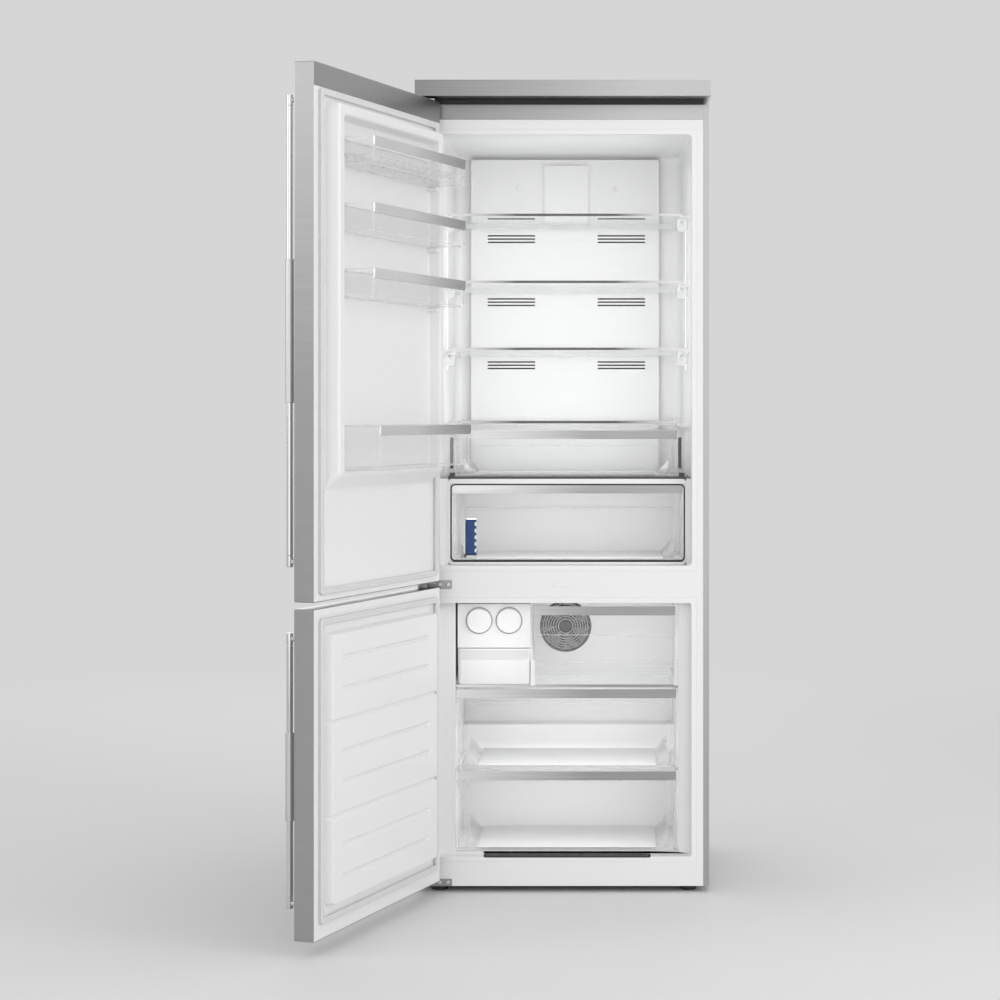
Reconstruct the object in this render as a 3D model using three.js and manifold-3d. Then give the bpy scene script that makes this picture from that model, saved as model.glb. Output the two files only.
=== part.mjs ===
// A free-standing refrigerator with a fresh-food compartment above a freezer, both doors open.
// Millimetres, +Z up. While it is built, X = 0 is the cabinet's middle, Y = 0 its front plane
// with +Y towards the back, and Z = 0 the floor. The last lines move the finished object so
// that its origin is the bottom centre of its box.
import * as THREE from 'three';
import { mergeVertices } from 'three/addons/utils/BufferGeometryUtils.js';
import Module from 'manifold-3d';

const wasm = await Module();
wasm.setup();

// ---------------------------------------------------------------- driving dimensions
// Stock and fits
const SHEET = 1; // steel sheet of the cabinet and the doors
const WALL = 2.5; // vacuum-formed liners
const SEAT = 0.3; // gap between pieces that rest on or in each other
const RUN = 2.4; // gap beside a sliding box
const MOVE = 5; // gap that a swinging or lifted piece keeps
const OVER = 1; // how far a body runs past the face that it cuts or joins

// Cabinet
const CABINET_WIDTH = 698;
const CABINET_DEPTH = 625;
const CABINET_BOTTOM = 15;
const RETURN_WIDTH = 14; // front fold of each side panel
const HEADER_HEIGHT = 36;
const HEADER_MARGIN = 23; // white frame between header strip and opening flange
const FLANGE = 13; // liner flange round each opening
const SILL_HEIGHT = 70.6; // from the cabinet's bottom to the freezer opening
const FREEZER_HEIGHT = 607;
const MULLION = 90;
const FRIDGE_HEIGHT = 1032.4;
const SIDE_WALL = 46.5;
const OPENING_SHIFT = 4; // the left wall is a little thicker
const FRIDGE_CORNER = 11;
const FREEZER_CORNER = 6;
const FRIDGE_DEPTH = 485;
const FRIDGE_DRAFT = 8.5; // each side wall's lean over that depth
const PAD_WIDTH = 52; // oval pad on the mullion
const PAD_HEIGHT = 12;
const PAD_PROUD = 1.5;

// Lid and header
const LID_SIDE = 2.5; // past the cabinet's sides
const LID_FORWARD = 6; // past the closed doors
const LID_HEIGHT = 39;
const LID_WALL = 3;
const PLINTH_HEIGHT = 12;
const PLINTH_INSET = 12;

// Machine compartment
const MACHINE_DEPTH = 200;
const MACHINE_HEIGHT = 270;
const MACHINE_ROOF = 65; // foam between the machine compartment and the freezer above it
const MACHINE_WALL = 39; // foam between it and the freezer in front of it
const COMPRESSOR_RADIUS = 72;
const COMPRESSOR_HEIGHT = 165;
const COMPRESSOR_X = -150;
const COMPRESSOR_FOOT = 10; // foot past the pot
const COMPRESSOR_FOOT_THICK = 14;
const CONDENSER_X = 95;
const CONDENSER_WIDTH = 250;
const CONDENSER_DEPTH = 95;
const CONDENSER_HEIGHT = 140;
const CONDENSER_FINS = 12;
const TUBE_RADIUS = 5;
const TUBE_END = 8; // tube past the last fin
const FIN = 2;
const PAN_WIDTH = 190;
const PAN_DEPTH = 150;
const PAN_HEIGHT = 30;
const PAN_WALL = 2;
const LOUVRES = 8;
const LOUVRE_WIDTH = 120;
const LOUVRE_HEIGHT = 8;
const LOUVRE_COLUMN_PITCH = 174;
const LOUVRE_SHIFT = -42;
const INLET_EDGE = 80; // inlet's middle from the side sheet
const INLET_WIDTH = 50;
const INLET_HEIGHT = 34;
const INLET_DEPTH = 26;
const INLET_PROUD = 2;
const INLET_RIM = 4;
const INLET_RIM_THICK = 3;
const INLET_WALL = 7;
const INLET_FLOOR = 6;

// Feet and rollers
const FOOT_EDGE = 49; // foot's middle from the cabinet's side
const FOOT_Y = 45;
const FOOT_RADIUS = 20;
const FOOT_DISC = 8;
const FOOT_BEVEL = 2;
const STUD_RADIUS = 5;
const ROLLER_EDGE = 59;
const ROLLER_BACK = 65; // axle in front of the cabinet's back
const ROLLER_RADIUS = 12;
const ROLLER_WIDTH = 16;
const ROLLER_ROOM = 2; // base plate's slot round the roller
const AXLE_RADIUS = 3;
const AXLE_END = 2;
const EAR = 2;
const EAR_HALF = 9;
const EAR_DROP = 4; // ear below the axle's bore

// Doors
const DOOR_SIDE_GAP = 1; // free edge inside the cabinet's side
const DOOR_THICKNESS = 46;
const DOOR_STANDOFF = 10; // from the cabinet's front to the door's inner face
const DOOR_LIFT = 18; // from the cabinet's bottom
const DOOR_SPLIT_RISE = 3; // the split lies a little above the mullion's middle
const DOOR_GAP = 14.3;
const DOOR_TOP_RISE = 1.75; // upper door past the cabinet's top
const DOOR_BAND = 50; // folded steel along the top of each inner face
const DOOR_OPEN_DEGREES = 108.4;
const PIVOT_INSET = 20;
const PIVOT_DEPTH = 30.4;
const HINGE_PLATE = 6;
const HINGE_START = 4; // plates from the cabinet's side
const HINGE_WIDTH = 40;
const HINGE_SETBACK = 2; // plates behind the doors' outer face
const HINGE_FOOT = 70; // top plate's foot along the cabinet's top
const HINGE_TAB = 38; // screwed tab beside the lower plates
const HINGE_TAB_THICK = 3;
const HINGE_TAB_DROP = 14;
const PIN_RADIUS = 5;
const PIN_REACH = 18;
const GASKET_WIDTH = 14;
const GASKET_MARGIN = 6; // from the opening's edge
const GASKET_CRUSH = 0.6; // the closed door stops this far from the cabinet
const PLUG_INSET = 5.5; // door liner inside the opening's hinge side
const PLUG_FREE_INSET = 11.5;
const DYKE_HEIGHT = 35; // raised rim that the door bins hang in
const DYKE_WIDTH = 26;
const DYKE_FREE_EXTRA = 4; // the rim is wider on the free side
const DYKE_FLOOR = 5;
const DYKE_TOP_GAP = 7; // below the opening's top
const DYKE_BELOW = 15; // below the bottle bin
const DYKE_SLOPE = 27;
const RIB_PANEL_HEIGHT = 18; // raised panel of the freezer door's liner
const RIB_PANEL_GAP = 12; // inside the freezer opening
const RIB_PITCH = 67;
const RIB_COUNT = 8;
const LONG_RIBS = [2, 5]; // counted from the top, starting at 0
const RIB_WIDTH = 9;
const RIB_DEPTH = 3;
const RIB_MARGIN = 50;

// Handles: how far each bar stops inside its door, and the grip's start and length
const HANDLE_INSET = 55;
const HANDLE_REACH = 36;
const HANDLE_RADIUS = 7.5;
const GRIP_RADIUS = 9.5;
const POST_RADIUS = 6;
const POST_INSET = 12; // posts from the bar's ends
const UPPER_HANDLE = { below: 70.25, above: 60.75, grip: 421.25, gripLength: 307 };
const LOWER_HANDLE = { below: 56, above: 55.45, grip: 243, gripLength: 189 };

// Door bins, each with its drop below the rim's top, and how far it reaches from the door
const BINS = [
  { name: 'door_bin_top', drop: 130.5, height: 61, reach: 101 },
  { name: 'door_bin_second', drop: 273, height: 61, reach: 101 },
  { name: 'door_bin_third', drop: 413, height: 61, reach: 101 },
  { name: 'door_bin_bottle', drop: 781, height: 94, reach: 115 },
];
const BIN_WALL = 2.5;
const BIN_SIDE_GAP = 4;
const BIN_TRIM = 21;
const BIN_TRIM_THICK = 4;
const BIN_PEG = 10;
const BIN_PEG_HOLD = 6; // peg under the bin
const BIN_PEG_SETBACK = 5; // below the rim's crest

// Shelves and fridge drawers
const SHELF_SPACINGS = [179, 163.5, 163.5]; // upwards, from the cover over the drawers
const SHELF_FRONT = 110;
const SHELF_BACK_GAP = 8;
const GLASS = 4;
const SHELF_LIP = 7;
const SHELF_LIP_DEPTH = 8;
const SHELF_SIDE_GAP = 16.5; // between a shelf and the opening's side
const SHELF_HOLD = 6; // how far a rail reaches under a shelf
const RAIL_HEIGHT = 9;
const RAIL_START = 20; // rails behind the shelves' front
const CRISPER_HEADROOM = 22.4; // from the upper drawer to the top of the glass over it
const DUCT_DEPTH = 22; // air duct on the back wall
const DUCT_WIDTH = 487;
const DUCT_SHIFT = -3.5;
const DUCT_TOP_GAP = 10;
const DUCT_REACH = 250; // below the glass over the drawers
const DUCT_SKIN = 4;
const COVER_WIDTH = 108; // square cover near the duct's top
const COVER_HEIGHT = 146;
const COVER_DROP = 19;
const COVER_PROUD = 6;
const VENT_CENTRE = 142.5;
const VENT_WIDTH = 123;
const VENT_SLOT = 4;
const VENT_PITCH = 8.4;
const VENT_DROP = 34.5; // three slots below each shelf's top
const VENT_RISE = 18; // one slot above each of the upper two shelves
const LOW_VENT_DROP = 38; // one slot below the glass over the drawers
const UPPER_CRISPER = { sideGap: 28.5, height: 110, front: 115, backGap: 23 };
const LOWER_CRISPER = { sideGap: 21.5, height: 186, front: 45, backGap: 33, shift: 5.5 };
const BOX_WALL = 3;
const BOX_TRIM = 20;
const BOX_TRIM_THICK = 4;
const RIM_HEIGHT = 4;
const RIM_WIDTH = 8;
const HOUSING_WALL = 6;
const HOUSING_TRIM = 2; // the right wall is thinner by this
const HOUSING_BAND = 12;
const HOUSING_PROUD = 3; // in front of the lower drawer
const DIVIDER = 6;
const LED_WIDTH = 20;
const LED_HEIGHT = 385;
const LED_THICK = 4;
const LED_Y = 215;
const LED_RISE = 126; // above the glass over the drawers

// Freezer
const STEP_DEPTH = 34; // from the cabinet's front to the ledge behind the door liner
const DRAWER_SIDE_GAP = 36.5; // inside the freezer opening
const DRAWER_SHIFT = 3.6;
const DRAWER_FRONT = 40;
const DRAWER_BACK_GAP = 12;
const DRAWER_GAP = 7;
const BOTTOM_DRAWER_HEIGHT = 191.2;
const MIDDLE_DRAWER_HEIGHT = 191;
const LEDGE = 6; // freezer floor above the opening's sill
const VENT_LENGTH = 402; // air slot in the step under the drawers
const FREEZER_BACK_WALL = 85;
const COIL_SPACE = 90; // behind the evaporator cover's face
const COVER_SKIN = 4;
const COVER_GAP = 6; // in front of the evaporator cover
const RUNNER_HOLD = 5;
const RUNNER_START = 25; // runners behind the drawers' front
const ICE_WIDTH = 176;
const ICE_HOUSING_HEIGHT = 106;
const ICE_HOUSING_DEPTH = 250;
const ICE_HANGER_START = 20;
const ICE_BIN_DEPTH = 300;
const ICE_BIN_GAP = 1.5; // under the housing
const KNOB_SPACING = 72;
const KNOB_DROP = 40; // knob axis below the housing's top
const KNOB_RADIUS = 30;
const KNOB_PROUD = 12;
const KNOB_PLATE = 5; // what is left beside the knob's bar
const KNOB_BAR = 3; // half the bar's thickness
const KNOB_SCOOP = 22;
const KNOB_SCOOP_WIDTH = 26;
const SHAFT_ROD = 6;
const TRAY_WIDTH = 54;
const TRAY_HEIGHT = 26;
const TRAY_LENGTH = 190;
const TRAY_START = 12; // behind the housing's face
const TRAY_CELLS = 5;
const TRAY_WALL = 2;
const TRAY_CELL_WIDTH = 22;
const TRAY_CELL_FLOOR = 8; // above the shaft's axis
const FLAP_TOP_GAP = 6.5;
const FLAP_SIDE_GAP = 5; // beside the ice maker
const FLAP_FREE_GAP = 2;
const FLAP_FOOT_GAP = 2;
const FLAP_THICK = 4;
const FLAP_TRIM_PROUD = 2;
const FLAP_BARREL = 5;
const FLAP_PIN = 2.5;
const FLAP_POST = 3;
const FLAP_POST_HEIGHT = 26;
const FAN_RADIUS = 65;
const FAN_X = -1.7;
const FAN_DROP = 95.1; // below the freezer opening's top
const FAN_GAP = 5;
const GRILLE_RINGS = 5;
const GRILLE_HUB = 12;
const GRILLE_BAR = 3;
const GRILLE_RING_BAR = 2.4;
const FAN_BLADES = 7;
const FAN_HUB = 15;
const HUB_LENGTH = 18;
const BLADE_LENGTH = 45;
const BLADE_WIDTH = 20;
const BLADE_THICK = 2;
const BLADE_DEGREES = 55;
const SHAFT_RADIUS = 3;
const MOTOR_RADIUS = 22;
const MOTOR_BACK_GAP = 20;
const BRIDGE_THICK = 8;
const BRIDGE_HALF = 6;
const BRIDGE_PAST_FAN = 8;
const EVAPORATOR_HEIGHT = 150;
const EVAPORATOR_DEPTH = 60;
const EVAPORATOR_INSET = 30;
const EVAPORATOR_FINS = 14;

// ---------------------------------------------------------------- shape helpers
// A closed three.js geometry as a solid that can be joined and cut.
function solid(geometry) {
  const bare = geometry.index ? geometry.toNonIndexed() : geometry.clone();
  bare.deleteAttribute('normal');
  bare.deleteAttribute('uv');
  const merged = mergeVertices(bare, 1e-3);
  return new wasm.Manifold(new wasm.Mesh({
    numProp: 3,
    vertProperties: merged.attributes.position.array,
    triVerts: new Uint32Array(merged.index.array),
  }));
}

function geometryOf(body) {
  const mesh = body.getMesh();
  const geometry = new THREE.BufferGeometry();
  geometry.setAttribute('position', new THREE.BufferAttribute(mesh.vertProperties, 3));
  geometry.setIndex(new THREE.BufferAttribute(mesh.triVerts, 1));
  geometry.computeVertexNormals();
  return geometry;
}

const join = (...bodies) => bodies.reduce((whole, next) => whole.add(next));
const cut = (body, ...tools) => tools.reduce((rest, tool) => rest.subtract(tool), body);

function box(x0, x1, y0, y1, z0, z1) {
  const geometry = new THREE.BoxGeometry(x1 - x0, y1 - y0, z1 - z0);
  return solid(geometry.translate((x0 + x1) / 2, (y0 + y1) / 2, (z0 + z1) / 2));
}

function rodX(radius, x0, x1, y, z, sides = 20) {
  const geometry = new THREE.CylinderGeometry(radius, radius, x1 - x0, sides);
  return solid(geometry.rotateZ(Math.PI / 2).translate((x0 + x1) / 2, y, z));
}

function rodY(radius, y0, y1, x, z, sides = 20) {
  const geometry = new THREE.CylinderGeometry(radius, radius, y1 - y0, sides);
  return solid(geometry.translate(x, (y0 + y1) / 2, z));
}

function rodZ(radius, z0, z1, x, y, sides = 20) {
  const geometry = new THREE.CylinderGeometry(radius, radius, z1 - z0, sides);
  return solid(geometry.rotateX(Math.PI / 2).translate(x, y, (z0 + z1) / 2));
}

// A section drawn as (Y, Z) points, run along X.
const ALONG_X = new THREE.Matrix4().makeBasis(
  new THREE.Vector3(0, 1, 0), new THREE.Vector3(0, 0, 1), new THREE.Vector3(1, 0, 0));

function prismX(points, x0, x1) {
  const shape = new THREE.Shape(points.map(([y, z]) => new THREE.Vector2(y, z)));
  const geometry = new THREE.ExtrudeGeometry(shape, { depth: x1 - x0, bevelEnabled: false });
  return solid(geometry.applyMatrix4(ALONG_X).translate(x0, 0, 0));
}

// A span is a rectangle seen from the front: x0, x1, z0, z1.
const span = (centre, width, z0, z1) => ({ x0: centre - width / 2, x1: centre + width / 2, z0, z1 });
const grow = (s, m) => ({ x0: s.x0 - m, x1: s.x1 + m, z0: s.z0 - m, z1: s.z1 + m });
const slab = (s, y0, y1) => box(s.x0, s.x1, y0, y1, s.z0, s.z1);

// A span with round corners run along Y; draft draws each side in towards the back.
const ALONG_Y = new THREE.Matrix4().makeBasis(
  new THREE.Vector3(1, 0, 0), new THREE.Vector3(0, 0, 1), new THREE.Vector3(0, -1, 0));

function roundSlab(s, radius, y0, y1, draft = 0) {
  const shape = new THREE.Shape();
  shape.absarc(s.x1 - radius, s.z0 + radius, radius, -Math.PI / 2, 0);
  shape.absarc(s.x1 - radius, s.z1 - radius, radius, 0, Math.PI / 2);
  shape.absarc(s.x0 + radius, s.z1 - radius, radius, Math.PI / 2, Math.PI);
  shape.absarc(s.x0 + radius, s.z0 + radius, radius, Math.PI, 1.5 * Math.PI);
  const geometry = new THREE.ExtrudeGeometry(shape, {
    depth: y1 - y0, bevelEnabled: false, curveSegments: 4,
  });
  geometry.applyMatrix4(ALONG_Y).translate(0, y1, 0);
  const position = geometry.attributes.position;
  const middle = (s.x0 + s.x1) / 2;
  const shrink = 1 - draft / ((s.x1 - s.x0) / 2);
  for (let i = 0; i < position.count; i += 1) {
    if (position.getY(i) > (y0 + y1) / 2) {
      position.setX(i, middle + (position.getX(i) - middle) * shrink);
    }
  }
  return solid(geometry);
}

// A closed outline of [radius, height] points turned round the Z axis.
function turned(outline, sides = 24) {
  const points = outline.map(([r, z]) => new THREE.Vector2(r, z));
  return new THREE.LatheGeometry(points, sides).rotateX(Math.PI / 2);
}

// An open-topped box with walls of one thickness.
function openBox(s, y0, y1, wall) {
  const inside = { x0: s.x0 + wall, x1: s.x1 - wall, z0: s.z0 + wall, z1: s.z1 + wall };
  return cut(slab(s, y0, y1), slab(inside, y0 + wall, y1 - wall));
}

const finish = (color, roughness, metalness, opacity = 1) => new THREE.MeshStandardMaterial({
  color, roughness, metalness, opacity, transparent: opacity < 1,
});

const refrigerator = new THREE.Group();

function piece(name, body, material, parent = refrigerator, origin = [0, 0, 0]) {
  const geometry = geometryOf(body).translate(-origin[0], -origin[1], -origin[2]);
  const mesh = new THREE.Mesh(geometry, material);
  mesh.name = name;
  parent.add(mesh);
}

const steel = () => finish(0xb9babb, 0.35, 0.9);
const whitePlastic = () => finish(0xf2f3f3, 0.45, 0);
const clearPlastic = () => finish(0xe9eeee, 0.15, 0, 0.45);
const darkPlastic = () => finish(0x35373a, 0.6, 0);
const plainSteel = () => finish(0x8f9294, 0.5, 0.8);

// ---------------------------------------------------------------- levels worked out from above
const sideX = CABINET_WIDTH / 2;
const freezerSill = CABINET_BOTTOM + SILL_HEIGHT;
const freezerTop = freezerSill + FREEZER_HEIGHT;
const fridgeSill = freezerTop + MULLION;
const fridgeTop = fridgeSill + FRIDGE_HEIGHT;
const frameTop = fridgeTop + FLANGE + HEADER_MARGIN;
const cabinetTop = frameTop + HEADER_HEIGHT;
const frameX = sideX - RETURN_WIDTH;
const openingWidth = CABINET_WIDTH - 2 * SIDE_WALL;
const fridge = span(OPENING_SHIFT, openingWidth, fridgeSill, fridgeTop);
const freezer = span(OPENING_SHIFT, openingWidth, freezerSill, freezerTop);
const machineFront = CABINET_DEPTH - SHEET - MACHINE_DEPTH;
const baseTop = CABINET_BOTTOM + 2 * SHEET;
const machineTop = baseTop + MACHINE_HEIGHT;
const insideX = sideX - SHEET;
const insideTop = cabinetTop - SHEET;
const insideBack = CABINET_DEPTH - SHEET;
const innerPlane = -DOOR_STANDOFF;
const outerPlane = innerPlane - DOOR_THICKNESS;

// ---------------------------------------------------------------- cabinet shell
// Sides and top are one folded sheet, with a narrow fold round each front edge.
function outerWrap() {
  const outside = box(-sideX, sideX, 0, CABINET_DEPTH, CABINET_BOTTOM, cabinetTop);
  const inside = box(-insideX, insideX, SHEET, CABINET_DEPTH + OVER, CABINET_BOTTOM - OVER, insideTop);
  const front = box(-frameX, frameX, -OVER, SHEET + OVER, CABINET_BOTTOM - OVER, cabinetTop - SHEET);
  return cut(outside, inside, front);
}
piece('outer_wrap', outerWrap(), steel());

const rearPanel = box(-insideX, insideX, insideBack, CABINET_DEPTH, machineTop, insideTop);
piece('rear_panel', rearPanel, plainSteel());

// Louvred cover over the machine compartment, with a window for the mains inlet.
const inletX = insideX - INLET_EDGE;
const inletZ = baseTop + MACHINE_HEIGHT / 2;
const inlet = span(inletX, INLET_WIDTH, inletZ - INLET_HEIGHT / 2, inletZ + INLET_HEIGHT / 2);
const louvreX = [-1, 0, 1].map((column) => LOUVRE_SHIFT + column * LOUVRE_COLUMN_PITCH);

function machineCover() {
  let cover = box(-insideX, insideX, insideBack, CABINET_DEPTH, baseTop, machineTop);
  const pitch = MACHINE_HEIGHT / (LOUVRES + 2);
  for (const x of louvreX) {
    for (let row = 0; row < LOUVRES; row += 1) {
      const z = baseTop + pitch * (row + 1.5);
      const slot = span(x, LOUVRE_WIDTH, z - LOUVRE_HEIGHT / 2, z + LOUVRE_HEIGHT / 2);
      cover = cut(cover, slab(slot, insideBack - OVER, CABINET_DEPTH + OVER));
    }
  }
  return cut(cover, slab(grow(inlet, SEAT), insideBack - OVER, CABINET_DEPTH + OVER));
}
piece('machine_cover', machineCover(), plainSteel());

// The inlet's rim stands behind the cover and its socket opens backwards.
function powerInlet() {
  const back = CABINET_DEPTH + INLET_PROUD;
  const body = slab(inlet, CABINET_DEPTH - INLET_DEPTH, back);
  const rim = slab(grow(inlet, INLET_RIM), insideBack - INLET_RIM_THICK, insideBack - SEAT);
  const socket = slab(grow(inlet, -INLET_WALL), CABINET_DEPTH - INLET_DEPTH + INLET_FLOOR,
    back + OVER);
  return cut(join(body, rim), socket);
}
piece('power_inlet', powerInlet(), darkPlastic());

// Bottom tray, with a pair of ears that carry each roller's axle.
const rollerY = CABINET_DEPTH - ROLLER_BACK;
const rollerX = sideX - ROLLER_EDGE;
const earNear = ROLLER_WIDTH / 2 + SHEET;
const earFar = earNear + EAR;
const earBottom = ROLLER_RADIUS - AXLE_RADIUS - EAR_DROP;

function basePlate() {
  let plate = box(-insideX, insideX, WALL, insideBack, CABINET_BOTTOM, baseTop);
  const reach = ROLLER_RADIUS + ROLLER_ROOM;
  for (const x of [-rollerX, rollerX]) {
    plate = cut(plate, box(x - earNear, x + earNear, rollerY - reach, rollerY + reach,
      CABINET_BOTTOM - OVER, baseTop + OVER));
    for (const [x0, x1] of [[x - earFar, x - earNear], [x + earNear, x + earFar]]) {
      plate = join(plate, box(x0, x1, rollerY - EAR_HALF, rollerY + EAR_HALF, earBottom, baseTop));
    }
    plate = cut(plate, rodX(AXLE_RADIUS + SEAT, x - earFar - OVER, x + earFar + OVER,
      rollerY, ROLLER_RADIUS, 16));
  }
  return plate;
}
piece('base_plate', basePlate(), plainSteel());

for (const [name, x] of [['rear_roller_left', -rollerX], ['rear_roller_right', rollerX]]) {
  const wheel = rodX(ROLLER_RADIUS, x - ROLLER_WIDTH / 2, x + ROLLER_WIDTH / 2,
    rollerY, ROLLER_RADIUS, 32);
  const axle = rodX(AXLE_RADIUS, x - earFar - AXLE_END, x + earFar + AXLE_END,
    rollerY, ROLLER_RADIUS, 16);
  piece(name, join(wheel, axle), darkPlastic());
}

const footX = sideX - FOOT_EDGE;
for (const [name, x] of [['front_foot_left', -footX], ['front_foot_right', footX]]) {
  const outline = [
    [0, 0], [FOOT_RADIUS - FOOT_BEVEL, 0], [FOOT_RADIUS, FOOT_BEVEL],
    [FOOT_RADIUS, FOOT_DISC - FOOT_BEVEL], [FOOT_RADIUS - FOOT_BEVEL, FOOT_DISC],
    [STUD_RADIUS, FOOT_DISC], [STUD_RADIUS, CABINET_BOTTOM - SEAT], [0, CABINET_BOTTOM - SEAT],
  ];
  piece(name, solid(turned(outline, 28).translate(x, FOOT_Y, 0)), darkPlastic());
}

// ---------------------------------------------------------------- front face of the cabinet
const freezerFlange = grow(freezer, FLANGE);
const fridgeFlange = grow(fridge, FLANGE);

function frontFrame() {
  const face = box(-frameX, frameX, 0, WALL, CABINET_BOTTOM, frameTop);
  const windows = [freezerFlange, fridgeFlange].map((s) => slab(s, -OVER, WALL + OVER));
  const padZ = (freezerTop + fridgeSill) / 2;
  const pad = span(0, PAD_WIDTH, padZ - PAD_HEIGHT / 2, padZ + PAD_HEIGHT / 2);
  return join(cut(face, ...windows), roundSlab(pad, PAD_HEIGHT / 2 - SEAT, -PAD_PROUD, OVER));
}
piece('front_frame', frontFrame(), whitePlastic());

const headerStrip = box(-frameX, frameX, 0, WALL, frameTop, insideTop);
piece('header_strip', headerStrip, steel());

// The lid overhangs the closed doors; a plinth holds it clear of the top hinge.
const lidBottom = cabinetTop + PLINTH_HEIGHT;
const lidTop = lidBottom + LID_HEIGHT;
const lidX = sideX + LID_SIDE;
const lidFront = outerPlane - LID_FORWARD;
const hingeEdge = -sideX;
const plateX0 = hingeEdge + HINGE_START;
const plateX1 = plateX0 + HINGE_WIDTH;

function lid() {
  const roof = box(-lidX, lidX, lidFront, CABINET_DEPTH, lidBottom, lidTop);
  const under = box(LID_WALL - lidX, lidX - LID_WALL, lidFront + LID_WALL,
    CABINET_DEPTH - LID_WALL, lidBottom - OVER, lidTop - LID_WALL);
  const deck = box(-lidX, lidX, lidFront, CABINET_DEPTH, lidBottom, lidBottom + LID_WALL);
  const plinthX = sideX - PLINTH_INSET;
  const plinth = box(-plinthX, plinthX, PLINTH_INSET, CABINET_DEPTH - PLINTH_INSET,
    cabinetTop, lidBottom + LID_WALL);
  const hollow = box(LID_WALL - plinthX, plinthX - LID_WALL, PLINTH_INSET + LID_WALL,
    CABINET_DEPTH - PLINTH_INSET - LID_WALL, cabinetTop - OVER, lidTop - LID_WALL);
  const notch = box(-sideX, plateX1 + MOVE, -OVER, HINGE_FOOT + 4 * MOVE,
    cabinetTop - OVER, lidBottom);
  return cut(join(cut(roof, under), deck, plinth), hollow, notch);
}
piece('top_panel', lid(), steel());

// ---------------------------------------------------------------- liners and insulation
const shelfX0 = fridge.x0 + SHELF_SIDE_GAP;
const shelfX1 = fridge.x1 - SHELF_SIDE_GAP;
const ductFace = FRIDGE_DEPTH - DUCT_DEPTH;
const shelfBack = ductFace - SHELF_BACK_GAP;

// The lower drawer slides in a white housing; a dark glass plate on it carries the upper one.
const lowerCrisperZ = fridgeSill + HOUSING_WALL + SEAT;
const lowerCrisper = span(OPENING_SHIFT + LOWER_CRISPER.shift,
  openingWidth - 2 * LOWER_CRISPER.sideGap, lowerCrisperZ, lowerCrisperZ + LOWER_CRISPER.height);
const housingWindow = {
  x0: lowerCrisper.x0 - RUN,
  x1: lowerCrisper.x1 + RUN,
  z0: lowerCrisper.z0 - SEAT,
  z1: lowerCrisper.z1 + RUN,
};
const housing = {
  x0: housingWindow.x0 - HOUSING_WALL,
  x1: housingWindow.x1 + HOUSING_WALL - HOUSING_TRIM,
  z0: fridgeSill,
  z1: housingWindow.z1 + HOUSING_BAND,
};
const upperCrisperZ = housing.z1 + DIVIDER + SEAT;
const upperCrisper = span(OPENING_SHIFT, openingWidth - 2 * UPPER_CRISPER.sideGap, upperCrisperZ,
  upperCrisperZ + UPPER_CRISPER.height);
const crisperCoverTop = upperCrisper.z1 + CRISPER_HEADROOM;
const shelfTops = SHELF_SPACINGS.map((spacing, i) => SHELF_SPACINGS.slice(0, i)
  .reduce((level, step) => level + step, crisperCoverTop + spacing));
const ledBottom = crisperCoverTop + LED_RISE;

// How far a side wall has leaned in at a distance y from the front.
const leanAt = (y) => FRIDGE_DRAFT * (y + OVER) / (FRIDGE_DEPTH + OVER);

// The rails are notched where the light strips run down the walls.
function ledNotches() {
  const reach = leanAt(LED_Y + LED_WIDTH / 2) + LED_THICK + 3 * SEAT;
  const y0 = LED_Y - LED_WIDTH / 2 - OVER;
  const y1 = LED_Y + LED_WIDTH / 2 + OVER;
  const z0 = ledBottom - OVER;
  const z1 = ledBottom + LED_HEIGHT + OVER;
  return join(
    box(fridge.x0 - WALL, fridge.x0 + reach, y0, y1, z0, z1),
    box(fridge.x1 - reach, fridge.x1 + WALL, y0, y1, z0, z1),
  );
}

function fridgeLiner() {
  const flange = cut(slab(fridgeFlange, 0, WALL), slab(grow(fridge, -OVER), -OVER, WALL + OVER));
  const outside = roundSlab(grow(fridge, WALL), FRIDGE_CORNER + WALL, 0, FRIDGE_DEPTH + WALL,
    FRIDGE_DRAFT);
  const inside = roundSlab(fridge, FRIDGE_CORNER, -OVER, FRIDGE_DEPTH, FRIDGE_DRAFT);
  const rails = [];
  for (const top of [crisperCoverTop, ...shelfTops]) {
    const z1 = top - GLASS;
    const z0 = z1 - RAIL_HEIGHT;
    const y0 = SHELF_FRONT + RAIL_START;
    rails.push(box(fridge.x0 - OVER, shelfX0 + SHELF_HOLD, y0, FRIDGE_DEPTH, z0, z1));
    rails.push(box(shelfX1 - SHELF_HOLD, fridge.x1 + OVER, y0, FRIDGE_DEPTH, z0, z1));
  }
  const shell = cut(join(flange, outside), inside);
  return join(shell, cut(join(...rails).intersect(outside), ledNotches()));
}
piece('fridge_liner', fridgeLiner(), whitePlastic());

// The freezer is wide at the door and steps in to the drawers; its back steps forward over
// the machine compartment.
const drawerX0 = freezer.x0 + DRAWER_SIDE_GAP + DRAWER_SHIFT;
const drawerX1 = freezer.x1 - DRAWER_SIDE_GAP + DRAWER_SHIFT;
const cavityX0 = drawerX0 - RUN;
const cavityX1 = drawerX1 + RUN;
const freezerFloor = freezerSill + LEDGE;
const bottomDrawerZ = freezerFloor + SEAT;
const middleDrawerZ = bottomDrawerZ + BOTTOM_DRAWER_HEIGHT + DRAWER_GAP;
const freezerShelfZ = middleDrawerZ + MIDDLE_DRAWER_HEIGHT + DRAWER_GAP;
const compartmentZ = freezerShelfZ + GLASS;
const lowBack = machineFront - MACHINE_WALL;
const freezerBack = CABINET_DEPTH - FREEZER_BACK_WALL;
const stepUp = machineTop + MACHINE_ROOF;
const coilFace = freezerBack - COIL_SPACE;

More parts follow.
